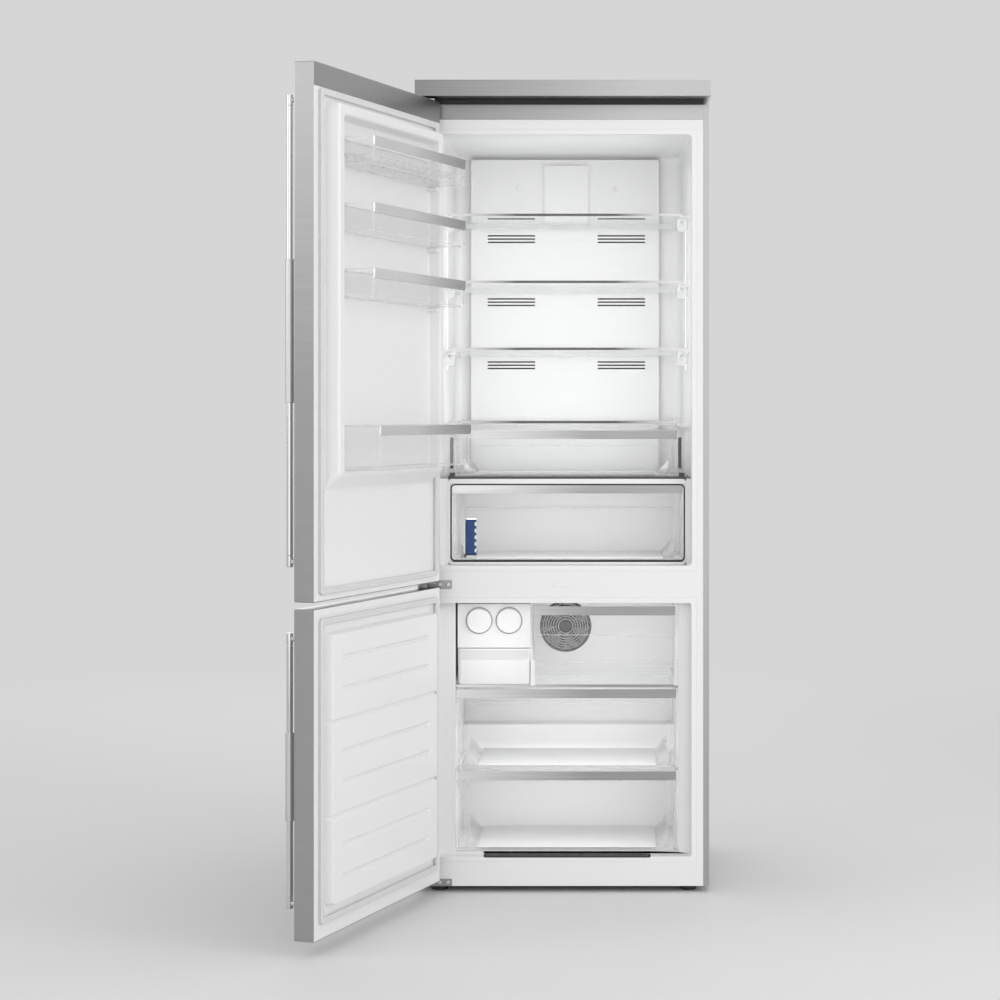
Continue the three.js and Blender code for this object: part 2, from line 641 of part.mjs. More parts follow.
function freezerSpaces(margin) {
  const high = box(cavityX0 - margin, cavityX1 + margin, STEP_DEPTH - margin,
    freezerBack + margin, stepUp - margin, freezerTop + margin);
  const low = box(cavityX0 - margin, cavityX1 + margin, STEP_DEPTH - margin,
    lowBack + margin, freezerFloor - margin, stepUp + OVER);
  return [high, low];
}

// Runners under the middle drawer and the glass shelf reach in from the side walls.
function freezerRunners(z1, y1) {
  const z0 = z1 - (DRAWER_GAP - 2 * SEAT);
  const y0 = DRAWER_FRONT + RUNNER_START;
  return [
    box(cavityX0 - OVER, drawerX0 + RUNNER_HOLD, y0, y1, z0, z1),
    box(drawerX1 - RUNNER_HOLD, cavityX1 + OVER, y0, y1, z0, z1),
  ];
}

const freezerVent = slab(span(OPENING_SHIFT + MOVE, VENT_LENGTH, freezerSill + SEAT,
  freezerFloor - SEAT), STEP_DEPTH - WALL - OVER, STEP_DEPTH + OVER);

function freezerLiner() {
  const flange = cut(slab(freezerFlange, 0, WALL), slab(grow(freezer, -OVER), -OVER, WALL + OVER));
  const mouth = roundSlab(grow(freezer, WALL), FREEZER_CORNER + WALL, 0, STEP_DEPTH + WALL);
  const mouthInside = roundSlab(freezer, FREEZER_CORNER, -OVER, STEP_DEPTH);
  const outside = join(flange, mouth, ...freezerSpaces(WALL));
  const inside = join(mouthInside, ...freezerSpaces(0));
  const runners = join(
    ...freezerRunners(middleDrawerZ - SEAT, lowBack - DRAWER_BACK_GAP),
    ...freezerRunners(freezerShelfZ, coilFace - COVER_GAP),
  );
  return join(cut(outside, inside), runners);
}
piece('freezer_liner', cut(freezerLiner(), freezerVent), whitePlastic());

// Foam fills what is left between the liners and the sheet metal.
function insulation() {
  const block = box(-insideX, insideX, WALL, insideBack, baseTop, insideTop);
  const machine = box(-insideX - OVER, insideX + OVER, machineFront, insideBack + OVER,
    baseTop - OVER, machineTop);
  const gap = WALL + SEAT;
  const fridgeSpace = slab(grow(fridge, gap), -OVER, FRIDGE_DEPTH + gap);
  const mouth = slab(grow(freezer, gap), -OVER, STEP_DEPTH + gap);
  const folds = join(box(-insideX - OVER, -frameX, 0, WALL, 0, cabinetTop),
    box(frameX, insideX + OVER, 0, WALL, 0, cabinetTop));
  return cut(block, machine, fridgeSpace, mouth, folds, ...freezerSpaces(gap));
}
piece('insulation_core', insulation(), finish(0xe6d9a8, 0.9, 0));

// ---------------------------------------------------------------- fresh-food compartment
// The air duct is a shallow tray on the back wall, with slots beside each shelf and a raised
// square cover at the top.
function ductPanel() {
  const top = fridgeTop - DUCT_TOP_GAP;
  const face = span(DUCT_SHIFT, DUCT_WIDTH, crisperCoverTop - DUCT_REACH, top);
  const back = FRIDGE_DEPTH - SEAT;
  const skinBack = ductFace + DUCT_SKIN;
  let panel = cut(slab(face, ductFace, back), slab(grow(face, -DUCT_SKIN), skinBack, back + OVER));
  const slots = shelfTops.flatMap((level) => [-1, 0, 1].map((step) => level - VENT_DROP
    + step * VENT_PITCH));
  slots.push(...shelfTops.slice(1).map((level) => level + VENT_RISE));
  slots.push(crisperCoverTop - LOW_VENT_DROP);
  for (const z of slots) {
    for (const side of [-1, 1]) {
      const slot = span(side * VENT_CENTRE, VENT_WIDTH, z - VENT_SLOT / 2, z + VENT_SLOT / 2);
      panel = cut(panel, slab(slot, ductFace - OVER, skinBack + OVER));
    }
  }
  const coverTop = top - COVER_DROP;
  const cover = span(0, COVER_WIDTH, coverTop - COVER_HEIGHT, coverTop);
  return join(panel, slab(cover, ductFace - COVER_PROUD, ductFace + OVER));
}
piece('duct_panel', ductPanel(), whitePlastic());

// Glass shelves, each with a turned-down front trim.
function shelf(top) {
  const glass = box(shelfX0, shelfX1, SHELF_FRONT, shelfBack, top - GLASS, top);
  const lip = box(shelfX0, shelfX1, SHELF_FRONT, SHELF_FRONT + SHELF_LIP_DEPTH, top - SHELF_LIP,
    top);
  return join(glass, lip);
}
const clearGlass = () => finish(0xc9d6d3, 0.1, 0, 0.5);
['shelf_low', 'shelf_middle', 'shelf_top'].forEach((name, i) => {
  piece(name, shelf(shelfTops[i]), clearGlass());
});
piece('crisper_cover', shelf(crisperCoverTop), clearGlass());

const housingBack = ductFace - LOWER_CRISPER.backGap;
const housingFront = LOWER_CRISPER.front - HOUSING_PROUD;

function crisperHousing() {
  const outside = roundSlab(housing, FRIDGE_CORNER, housingFront, housingBack + 2 * HOUSING_WALL);
  return cut(outside, slab(housingWindow, housingFront - OVER, housingBack + HOUSING_WALL));
}
piece('crisper_housing', crisperHousing(), whitePlastic());

const divider = box(housing.x0, housing.x1, LOWER_CRISPER.front, housingBack + 2 * HOUSING_WALL,
  housing.z1, housing.z1 + DIVIDER);
piece('crisper_divider', divider, finish(0x4a4d50, 0.15, 0.1));

// A drawer is a clear box whose front carries a metal trim along its top edge.
function drawer(s, y0, y1) {
  const front = y0 + BOX_TRIM_THICK;
  const bin = openBox(s, front, y1, BOX_WALL);
  const trim = box(s.x0, s.x1, y0, front, s.z1 - BOX_TRIM, s.z1);
  const mouth = { x0: s.x0 + RIM_WIDTH, x1: s.x1 - RIM_WIDTH, z0: s.z1 - RIM_HEIGHT - OVER,
    z1: s.z1 + OVER };
  const rim = cut(slab({ ...s, z0: s.z1 - RIM_HEIGHT }, front, y1),
    slab(mouth, front + RIM_WIDTH, y1 - RIM_WIDTH));
  return join(bin, trim, rim);
}

piece('upper_crisper', drawer(upperCrisper, UPPER_CRISPER.front, ductFace - UPPER_CRISPER.backGap),
  clearPlastic());
piece('lower_crisper', drawer(lowerCrisper, LOWER_CRISPER.front, housingBack), clearPlastic());

// Light strips lie on the two side walls, which lean in by the draft.
const wallLean = Math.atan(FRIDGE_DRAFT / (FRIDGE_DEPTH + OVER));
for (const [name, side] of [['led_strip_left', -1], ['led_strip_right', 1]]) {
  const wallX = openingWidth / 2 - leanAt(LED_Y);
  const strip = new THREE.Group();
  strip.position.set(OPENING_SHIFT + side * wallX, LED_Y, ledBottom);
  strip.rotation.z = side * wallLean;
  refrigerator.add(strip);
  const far = -side * (LED_THICK + SEAT);
  const near = -side * SEAT;
  const body = box(Math.min(far, near), Math.max(far, near), -LED_WIDTH / 2, LED_WIDTH / 2,
    0, LED_HEIGHT);
  piece(name, body, finish(0xffffff, 0.3, 0), strip);
}

// ---------------------------------------------------------------- freezer compartment
const compartmentTop = freezerTop - MOVE;
const iceX0 = drawerX0 + RUN;
const iceX1 = iceX0 + ICE_WIDTH;
const iceHousing = { x0: iceX0, x1: iceX1, z0: compartmentTop - ICE_HOUSING_HEIGHT,
  z1: compartmentTop };
const knobZ = compartmentTop - KNOB_DROP;
const knobMiddle = (iceX0 + iceX1) / 2;
const iceBack = DRAWER_FRONT + ICE_HOUSING_DEPTH;

// The housing is open below, so that the ice falls in the bin; ears hang it from the ceiling.
function iceMakerHousing() {
  const hollow = { x0: iceX0 + BOX_WALL, x1: iceX1 - BOX_WALL, z0: iceHousing.z0 - OVER,
    z1: iceHousing.z1 - BOX_WALL };
  const hanger = box(iceX0, iceX1, DRAWER_FRONT + ICE_HANGER_START, iceBack,
    iceHousing.z1 - OVER, freezerTop - SEAT);
  let body = join(slab(iceHousing, DRAWER_FRONT, iceBack), hanger);
  body = cut(body, slab(hollow, DRAWER_FRONT + BOX_WALL, iceBack - BOX_WALL));
  for (const side of [-1, 1]) {
    const bore = rodY(SHAFT_ROD + SEAT, DRAWER_FRONT - OVER, iceBack + OVER,
      knobMiddle + side * KNOB_SPACING / 2, knobZ, 16);
    body = cut(body, bore);
  }
  return body;
}
piece('ice_maker_housing', iceMakerHousing(), whitePlastic());

// Each knob turns its own tray on one shaft. Two scoops leave a bar across the knob's face.
function iceTwister(x) {
  const knobFront = DRAWER_FRONT - KNOB_PROUD;
  let knob = rodY(KNOB_RADIUS, knobFront, DRAWER_FRONT - SEAT, x, knobZ, 32);
  for (const [z0, z1] of [[KNOB_BAR, KNOB_SCOOP], [-KNOB_SCOOP, -KNOB_BAR]]) {
    knob = cut(knob, box(x - KNOB_SCOOP_WIDTH, x + KNOB_SCOOP_WIDTH, knobFront - OVER,
      DRAWER_FRONT - KNOB_PLATE, knobZ + z0, knobZ + z1));
  }
  const shaft = rodY(SHAFT_ROD, DRAWER_FRONT - KNOB_PLATE + OVER, iceBack + BOX_WALL, x, knobZ, 16);
  const tray = span(x, TRAY_WIDTH, knobZ - TRAY_HEIGHT / 2, knobZ + TRAY_HEIGHT / 2);
  const trayFront = DRAWER_FRONT + TRAY_START;
  let tub = slab(tray, trayFront, trayFront + TRAY_LENGTH);
  const pitch = (TRAY_LENGTH - 2 * TRAY_WALL) / TRAY_CELLS;
  for (let i = 0; i < TRAY_CELLS; i += 1) {
    const y = trayFront + TRAY_WALL + i * pitch;
    for (const side of [-1, 1]) {
      const cell = span(x + side * (TRAY_CELL_WIDTH / 2 + TRAY_WALL), TRAY_CELL_WIDTH,
        knobZ + TRAY_CELL_FLOOR, knobZ + TRAY_HEIGHT);
      tub = cut(tub, slab(cell, y + TRAY_WALL, y + pitch - TRAY_WALL));
    }
  }
  return join(knob, shaft, tub);
}
piece('ice_twister_left', iceTwister(knobMiddle - KNOB_SPACING / 2), finish(0xeef1f2, 0.4, 0));
piece('ice_twister_right', iceTwister(knobMiddle + KNOB_SPACING / 2), finish(0xeef1f2, 0.4, 0));

const iceBin = { x0: iceX0, x1: iceX1, z0: compartmentZ + SEAT, z1: iceHousing.z0 - ICE_BIN_GAP };
piece('ice_bin', openBox(iceBin, DRAWER_FRONT, DRAWER_FRONT + ICE_BIN_DEPTH, BOX_WALL),
  whitePlastic());

// Glass shelf under the top compartment, with two posts that carry the flap's pins.
const flapX0 = iceX1 + FLAP_SIDE_GAP;
const flapX1 = drawerX1 - FLAP_FREE_GAP;
const flapTop = compartmentTop - FLAP_TOP_GAP;
const flapPivotY = DRAWER_FRONT + FLAP_BARREL;
const flapPivotZ = compartmentZ + FLAP_FOOT_GAP + FLAP_BARREL;

function freezerShelf() {
  const y0 = DRAWER_FRONT + FLAP_TRIM_PROUD;
  const glass = box(drawerX0, drawerX1, y0, coilFace - COVER_GAP, freezerShelfZ, compartmentZ);
  const posts = [flapX0, flapX1 - FLAP_POST].map((x) => box(x, x + FLAP_POST, y0,
    DRAWER_FRONT + FLAP_POST_HEIGHT, compartmentZ - OVER, compartmentZ + FLAP_POST_HEIGHT));
  const bore = rodX(FLAP_PIN + SEAT, flapX0 - OVER, flapX1 + OVER, flapPivotY, flapPivotZ, 12);
  return cut(join(glass, ...posts), bore);
}
piece('freezer_shelf', freezerShelf(), finish(0xbfcac8, 0.12, 0, 0.6));

// The clear flap drops forward about a barrel along its lower edge.
function freezerFlap() {
  const x0 = flapX0 + FLAP_POST + 3 * SEAT;
  const x1 = flapX1 - FLAP_POST - 3 * SEAT;
  const back = DRAWER_FRONT + FLAP_THICK;
  const panel = box(x0, x1, DRAWER_FRONT, back, flapPivotZ, flapTop);
  const trim = box(x0, x1, DRAWER_FRONT - FLAP_TRIM_PROUD, back + FLAP_TRIM_PROUD,
    flapTop - BOX_TRIM, flapTop);
  const barrel = rodX(FLAP_BARREL, x0, x1, flapPivotY, flapPivotZ, 16);
  const pin = rodX(FLAP_PIN, flapX0, flapX1, flapPivotY, flapPivotZ, 12);
  return join(panel, trim, barrel, pin);
}
piece('freezer_flap', freezerFlap(), clearPlastic());

const drawerBack = lowBack - DRAWER_BACK_GAP;
const middleDrawer = { x0: drawerX0, x1: drawerX1, z0: middleDrawerZ,
  z1: middleDrawerZ + MIDDLE_DRAWER_HEIGHT };
piece('middle_drawer', drawer(middleDrawer, DRAWER_FRONT, drawerBack), clearPlastic());
const bottomDrawer = { x0: drawerX0, x1: drawerX1, z0: bottomDrawerZ,
  z1: bottomDrawerZ + BOTTOM_DRAWER_HEIGHT };
piece('bottom_drawer', drawer(bottomDrawer, DRAWER_FRONT, drawerBack), clearPlastic());

// The evaporator cover stands behind the compartments; its fan blows through a ring grille.
const fanZ = freezerTop - FAN_DROP;
const coilCoverBack = coilFace + COVER_SKIN;

function evaporatorCover() {
  const cover = box(cavityX0 + SEAT, cavityX1 - SEAT, coilFace, coilCoverBack, stepUp + SEAT,
    freezerTop - SEAT);
  const mouth = rodY(FAN_RADIUS, coilFace - OVER, coilCoverBack + OVER, FAN_X, fanZ, 40);
  const grilleBack = coilFace + GRILLE_BAR;
  let grille = rodY(GRILLE_HUB, coilFace, grilleBack, FAN_X, fanZ, 20);
  const pitch = (FAN_RADIUS - GRILLE_HUB) / (GRILLE_RINGS + 1);
  for (let ring = 1; ring <= GRILLE_RINGS; ring += 1) {
    const r = GRILLE_HUB + ring * pitch;
    const band = cut(rodY(r + GRILLE_RING_BAR / 2, coilFace, grilleBack, FAN_X, fanZ, 24),
      rodY(r - GRILLE_RING_BAR / 2, coilFace - OVER, grilleBack + OVER, FAN_X, fanZ, 24));
    grille = join(grille, band);
  }
  const reach = FAN_RADIUS + OVER;
  const half = GRILLE_BAR / 2;
  const across = box(FAN_X - reach, FAN_X + reach, coilFace, grilleBack, fanZ - half, fanZ + half);
  const upright = box(FAN_X - half, FAN_X + half, coilFace, grilleBack, fanZ - reach, fanZ + reach);
  return join(cut(cover, mouth), grille, across, upright);
}
piece('evaporator_cover', evaporatorCover(), whitePlastic());

const fanFront = coilCoverBack + FAN_GAP;
const motorFront = fanFront + HUB_LENGTH + SHEET;

// The impeller's blades are flat paddles set at an angle round the hub.
function fanImpeller() {
  let wheel = cut(rodY(FAN_HUB, fanFront, fanFront + HUB_LENGTH, FAN_X, fanZ, 20),
    rodY(SHAFT_RADIUS + SEAT, fanFront + FAN_GAP - OVER, motorFront, FAN_X, fanZ, 12));
  for (let i = 0; i < FAN_BLADES; i += 1) {
    const blade = new THREE.BoxGeometry(BLADE_LENGTH, BLADE_THICK, BLADE_WIDTH);
    blade.rotateX(THREE.MathUtils.degToRad(BLADE_DEGREES));
    blade.translate(BLADE_LENGTH / 2 + FAN_HUB - 2 * OVER, 0, 0);
    blade.rotateY(i * 2 * Math.PI / FAN_BLADES);
    blade.translate(FAN_X, fanFront + HUB_LENGTH / 2, fanZ);
    wheel = join(wheel, solid(blade));
  }
  return wheel;
}
piece('fan_impeller', fanImpeller(), darkPlastic());

// The motor hangs on a bridge whose two feet stand on the back of the cover.
function fanMotor() {
  const y1 = freezerBack - MOTOR_BACK_GAP;
  const motor = rodY(MOTOR_RADIUS, motorFront, y1, FAN_X, fanZ, 24);
  const shaft = rodY(SHAFT_RADIUS, fanFront + FAN_GAP, motorFront + OVER, FAN_X, fanZ, 12);
  const reach = FAN_RADIUS + BRIDGE_PAST_FAN;
  const z0 = fanZ - BRIDGE_HALF;
  const z1 = fanZ + BRIDGE_HALF;
  const bridge = box(FAN_X - reach, FAN_X + reach, y1 - BRIDGE_THICK, y1, z0, z1);
  const feet = [-1, 1].map((side) => slab(span(FAN_X + side * reach, BRIDGE_THICK, z0, z1),
    coilCoverBack + SEAT, y1));
  return join(motor, shaft, bridge, ...feet);
}
piece('fan_motor', fanMotor(), darkPlastic());

// Fins threaded on two straight tube runs, standing on what lies below.
function finnedBlock(s, y0, y1, fins) {
  const width = s.x1 - s.x0;
  const height = s.z1 - s.z0;
  let block = box(s.x0, s.x0 + FIN, y0, y1, s.z0, s.z1);
  for (let i = 1; i < fins; i += 1) {
    const x = s.x0 + (width - FIN) * i / (fins - 1);
    block = join(block, box(x, x + FIN, y0, y1, s.z0, s.z1));
  }
  for (const side of [-1, 1]) {
    const z = s.z0 + height / 2 + side * height / 4;
    block = join(block, rodX(TUBE_RADIUS, s.x0 - TUBE_END, s.x1 + TUBE_END, (y0 + y1) / 2, z, 6));
  }
  return block;
}
const evaporatorY = coilCoverBack + MOVE;
const evaporator = { x0: cavityX0 + EVAPORATOR_INSET, x1: cavityX1 - EVAPORATOR_INSET,
  z0: stepUp + SEAT, z1: stepUp + SEAT + EVAPORATOR_HEIGHT };
piece('evaporator', finnedBlock(evaporator, evaporatorY, evaporatorY + EVAPORATOR_DEPTH,
  EVAPORATOR_FINS), finish(0xb5b8ba, 0.4, 0.8));

// ---------------------------------------------------------------- machine compartment
const machineMiddle = (machineFront + insideBack) / 2;

// The compressor's pot narrows in a dome and stands on a flat foot.
function compressor() {
  const r = COMPRESSOR_RADIUS;
  const h = COMPRESSOR_HEIGHT;
  const foot = COMPRESSOR_FOOT_THICK;
  const outline = [[0, foot - OVER], [r * 0.9, foot - OVER], [r, 2 * foot], [r, h * 0.55],
    [r * 0.96, h * 0.75], [r * 0.7, h * 0.93], [r * 0.3, h], [0, h]];
  const pot = solid(turned(outline, 24).translate(COMPRESSOR_X, machineMiddle, baseTop));
  const half = r + COMPRESSOR_FOOT;
  return join(pot, box(COMPRESSOR_X - half, COMPRESSOR_X + half, machineMiddle - r / 2,
    machineMiddle + r / 2, baseTop, baseTop + foot));
}
piece('compressor', compressor(), finish(0x17181a, 0.5, 0.3));

// The drip pan lies on the compressor, whose heat dries the melt water.
function dripPan() {
  const z0 = baseTop + COMPRESSOR_HEIGHT + SEAT;
  const s = span(COMPRESSOR_X, PAN_WIDTH, z0, z0 + PAN_HEIGHT);
  return openBox(s, machineMiddle - PAN_DEPTH / 2, machineMiddle + PAN_DEPTH / 2, PAN_WALL);
}
piece('drip_pan', dripPan(), darkPlastic());

const condenser = span(CONDENSER_X, CONDENSER_WIDTH, baseTop, baseTop + CONDENSER_HEIGHT);
piece('condenser', finnedBlock(condenser, machineMiddle - CONDENSER_DEPTH / 2,
  machineMiddle + CONDENSER_DEPTH / 2, CONDENSER_FINS), finish(0x3a3c3e, 0.6, 0.4));

// ---------------------------------------------------------------- door hinges
const pivotX = hingeEdge + PIVOT_INSET;
const pivotY = innerPlane - PIVOT_DEPTH;
const splitZ = (freezerTop + fridgeSill) / 2 + DOOR_SPLIT_RISE;
const lowerDoorBottom = CABINET_BOTTOM + DOOR_LIFT;
const lowerDoorTop = splitZ - DOOR_GAP / 2;
const upperDoorBottom = splitZ + DOOR_GAP / 2;
const upperDoorTop = cabinetTop + DOOR_TOP_RISE;
const plateFront = outerPlane + HINGE_SETBACK;
const tabX1 = plateX1 + HINGE_TAB;

// Each plate reaches forward under or over a door, with its pins on the doors' axis.
function topHinge() {
  const z0 = upperDoorTop + SEAT;
  const z1 = z0 + HINGE_PLATE;
  const arm = box(plateX0, plateX1, plateFront, 0, z0, z1);
  const foot = box(plateX0, plateX1, -OVER, HINGE_FOOT, cabinetTop, z1);
  const pin = rodZ(PIN_RADIUS, upperDoorTop - PIN_REACH, z0 + OVER, pivotX, pivotY);
  return join(arm, foot, pin);
}
piece('top_hinge', topHinge(), plainSteel());

function middleHinge() {
  const z1 = upperDoorBottom - SEAT;
  const z0 = z1 - HINGE_PLATE;
  const plate = box(plateX0, plateX1, plateFront, 0, z0, z1);
  const tab = box(plateX0, tabX1, -HINGE_TAB_THICK, 0, z0 - HINGE_TAB_DROP, z1);
  const pin = rodZ(PIN_RADIUS, lowerDoorTop - PIN_REACH, upperDoorBottom + PIN_REACH,
    pivotX, pivotY);
  return join(plate, tab, pin);
}
piece('middle_hinge', middleHinge(), plainSteel());

function bottomHinge() {
  const z1 = lowerDoorBottom - SEAT;
  const z0 = z1 - HINGE_PLATE;
  const plate = box(plateX0, plateX1, plateFront, 0, z0, z1);
  const tab = box(plateX0, tabX1, -HINGE_TAB_THICK, 0, CABINET_BOTTOM, z1);
  const pin = rodZ(PIN_RADIUS, z0 + OVER, lowerDoorBottom + PIN_REACH, pivotX, pivotY);
  return join(plate, tab, pin);
}
piece('bottom_hinge', bottomHinge(), plainSteel());

// ---------------------------------------------------------------- doors
// A door is drawn shut and turned open about its pins. doorBox takes the distance from the
// hinge edge and the height above the inner face.
const doorBox = (d0, d1, h0, h1, z0, z1) => box(hingeEdge + d0, hingeEdge + d1,
  innerPlane + h0, innerPlane + h1, z0, z1);

const doorWidth = CABINET_WIDTH - DOOR_SIDE_GAP;

function openDoor() {
  const door = new THREE.Group();
  door.position.set(pivotX, pivotY, 0);
  door.rotation.z = -THREE.MathUtils.degToRad(DOOR_OPEN_DEGREES);
  refrigerator.add(door);
  return door;
}

const pinBores = (z0, z1, radius) => join(
  rodZ(radius, z0 - OVER, z0 + PIN_REACH + HINGE_SETBACK, pivotX, pivotY),
  rodZ(radius, z1 - PIN_REACH - HINGE_SETBACK, z1 + OVER, pivotX, pivotY),
);

function doorSkin(z0, z1) {
  const pan = cut(doorBox(0, doorWidth, -DOOR_THICKNESS, 0, z0, z1),
    doorBox(SHEET, doorWidth - SHEET, SHEET - DOOR_THICKNESS, OVER, z0 + SHEET, z1 - SHEET));
  const band = doorBox(0, doorWidth, -SHEET, 0, z1 - DOOR_BAND, z1);
  return cut(join(pan, band), pinBores(z0, z1, PIN_RADIUS + SEAT));
}

function doorCore(z0, z1) {
  const edge = SHEET + SEAT;
  const block = doorBox(edge, doorWidth - edge, edge - DOOR_THICKNESS, -WALL - SEAT,
    z0 + edge, z1 - edge);
  return cut(block, pinBores(z0, z1, PIN_RADIUS + 3 * SEAT));
}

const linerPlate = (z0, z1) => doorBox(SHEET + SEAT, doorWidth - SHEET - SEAT, -WALL, 0,
  z0 + SHEET + SEAT, z1 - DOOR_BAND - SEAT);

const plugD0 = fridge.x0 + PLUG_INSET - hingeEdge;
const plugD1 = fridge.x1 - PLUG_FREE_INSET - hingeEdge;
const pocketD0 = plugD0 + DYKE_WIDTH;
const pocketD1 = plugD1 - DYKE_WIDTH - DYKE_FREE_EXTRA;
const binD0 = pocketD0 + BIN_SIDE_GAP;
const binD1 = pocketD1 - BIN_SIDE_GAP;
const dykeTop = fridgeTop - DYKE_TOP_GAP;
const binZ = BINS.map((bin) => dykeTop - bin.drop);
const lowestBin = Math.min(...binZ);
const dykeBottom = lowestBin - DYKE_BELOW;

// The fridge door's liner rises in a rim, hollow behind, that the bins hang inside on pegs.
function upperDoorLiner(z0, z1) {
  const foot = dykeBottom - DYKE_SLOPE;
  const rimOutline = (inset) => [
    [innerPlane - WALL, foot + 2 * inset],
    [innerPlane, foot + 2 * inset],
    [innerPlane + DYKE_HEIGHT - inset, dykeBottom + inset],
    [innerPlane + DYKE_HEIGHT - inset, dykeTop - inset],
    [innerPlane - WALL, dykeTop - inset],
  ];
  const outside = prismX(rimOutline(0), hingeEdge + plugD0, hingeEdge + plugD1);
  const pocketBottom = lowestBin - BIN_PEG / 2;
  const pocketTop = dykeTop - DYKE_WIDTH;
  const pocket = doorBox(pocketD0, pocketD1, DYKE_FLOOR, DYKE_HEIGHT + OVER, pocketBottom, pocketTop);
  const pocketWall = doorBox(pocketD0 - WALL, pocketD1 + WALL, DYKE_FLOOR - WALL,
    DYKE_HEIGHT + OVER, pocketBottom - WALL, pocketTop + WALL);
  const back = prismX(rimOutline(WALL), hingeEdge + plugD0 + WALL, hingeEdge + plugD1 - WALL);
  const behind = cut(join(back, doorBox(plugD0 + WALL, plugD1 - WALL, -WALL - OVER, 0,
    foot + 2 * WALL, dykeTop - WALL)), pocketWall);
  const pegTop = DYKE_HEIGHT - BIN_PEG_SETBACK;
  const pegs = binZ.flatMap((z) => [
    doorBox(pocketD0 - OVER, binD0 + BIN_PEG_HOLD, DYKE_FLOOR - OVER, pegTop,
      z - SEAT - BIN_PEG, z - SEAT),
    doorBox(binD1 - BIN_PEG_HOLD, pocketD1 + OVER, DYKE_FLOOR - OVER, pegTop,
      z - SEAT - BIN_PEG, z - SEAT),
  ]);
  const pegsInPocket = join(...pegs).intersect(doorBox(0, doorWidth, 0, DYKE_HEIGHT,
    pocketBottom - OVER, dykeTop));
  return join(cut(join(linerPlate(z0, z1), outside), pocket, behind), pegsInPocket);
}

// The freezer door's liner is a raised panel with long and short ribs pressed in.
function lowerDoorLiner(z0, z1) {
  const s = { z0: freezerSill + RIB_PANEL_GAP, z1: freezerTop - RIB_PANEL_GAP };
  const panel = doorBox(plugD0, plugD1, -WALL, RIB_PANEL_HEIGHT, s.z0, s.z1);
  const behind = doorBox(plugD0 + WALL, plugD1 - WALL, -WALL - OVER,
    RIB_PANEL_HEIGHT - WALL - RIB_DEPTH, s.z0 + WALL, s.z1 - WALL);
  const first = (s.z0 + s.z1) / 2 + RIB_PITCH * (RIB_COUNT - 1) / 2;
  let liner = cut(join(linerPlate(z0, z1), panel), behind);
  for (let i = 0; i < RIB_COUNT; i += 1) {
    const margin = LONG_RIBS.includes(i) ? -OVER : RIB_MARGIN;
    const z = first - i * RIB_PITCH;
    liner = cut(liner, doorBox(plugD0 + margin, plugD1 - margin, RIB_PANEL_HEIGHT - RIB_DEPTH,
      RIB_PANEL_HEIGHT + OVER, z - RIB_WIDTH / 2, z + RIB_WIDTH / 2));
  }
  return liner;
}

// The magnetic gasket is a ring that meets the white flange round the opening.
function gasket(opening) {
  const ring = grow(opening, GASKET_MARGIN + GASKET_WIDTH);
  const hole = grow(opening, GASKET_MARGIN);
  return cut(slab(ring, innerPlane + SEAT, -GASKET_CRUSH), slab(hole, innerPlane - OVER, OVER));
}

const handleX = hingeEdge + doorWidth - HANDLE_INSET;
const handleY = outerPlane - HANDLE_REACH;

function handleBar(h, z0, z1) {
  const low = z0 + h.below;
  const high = z1 - h.above;
  const posts = [low + POST_INSET, high - POST_INSET].map((z) => rodY(POST_RADIUS, handleY,
    outerPlane - SEAT, handleX, z, 16));
  return join(rodZ(HANDLE_RADIUS, low, high, handleX, handleY), ...posts);
}

function handleGrip(h, z0) {
  const low = z0 + h.grip;
  const high = low + h.gripLength;
  return cut(rodZ(GRIP_RADIUS, low, high, handleX, handleY),
    rodZ(HANDLE_RADIUS + SEAT, low - OVER, high + OVER, handleX, handleY));
}

function doorBin(bin, z) {
  const x0 = hingeEdge + binD0;
  const x1 = hingeEdge + binD1;
  const y0 = innerPlane + DYKE_FLOOR + SEAT;
  const y1 = innerPlane + bin.reach;
  const top = z + bin.height;
  const body = openBox({ x0, x1, z0: z, z1: top }, y0, y1 - BIN_TRIM_THICK + OVER, BIN_WALL);
  return join(body, box(x0, x1, y1 - BIN_TRIM_THICK, y1, top - BIN_TRIM, top));
}

function hang(name, z0, z1, opening, liner, handle) {
  const door = openDoor();
  const at = [pivotX, pivotY, 0];
  piece(`${name}_skin`, doorSkin(z0, z1), steel(), door, at);
  piece(`${name}_core`, doorCore(z0, z1), finish(0xe6d9a8, 0.9, 0), door, at);
  piece(`${name}_liner`, liner, whitePlastic(), door, at);
  piece(`${name}_gasket`, gasket(opening), finish(0xd9dada, 0.7, 0), door, at);
  piece(`${name}_handle`, handleBar(handle, z0, z1), finish(0xc8c9ca, 0.2, 1), door, at);
  piece(`${name}_grip`, handleGrip(handle, z0), finish(0xb0b1b2, 0.4, 0.9), door, at);
  return door;
}

const upperDoor = hang('upper_door', upperDoorBottom, upperDoorTop, fridge,
  upperDoorLiner(upperDoorBottom, upperDoorTop), UPPER_HANDLE);
hang('lower_door', lowerDoorBottom, lowerDoorTop, freezer,
  lowerDoorLiner(lowerDoorBottom, lowerDoorTop), LOWER_HANDLE);
BINS.forEach((bin, i) => {
  piece(bin.name, doorBin(bin, binZ[i]), clearPlastic(), upperDoor, [pivotX, pivotY, 0]);
});

// ---------------------------------------------------------------- origin
refrigerator.updateMatrixWorld(true);
const bounds = new THREE.Box3().setFromObject(refrigerator, true);
const middle = bounds.getCenter(new THREE.Vector3());
refrigerator.position.set(-middle.x, -middle.y, -bounds.min.z);
refrigerator.updateMatrixWorld(true);

export default refrigerator;
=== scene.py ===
import math
from collections import namedtuple

import bmesh
import bpy
from mathutils import Matrix, Vector


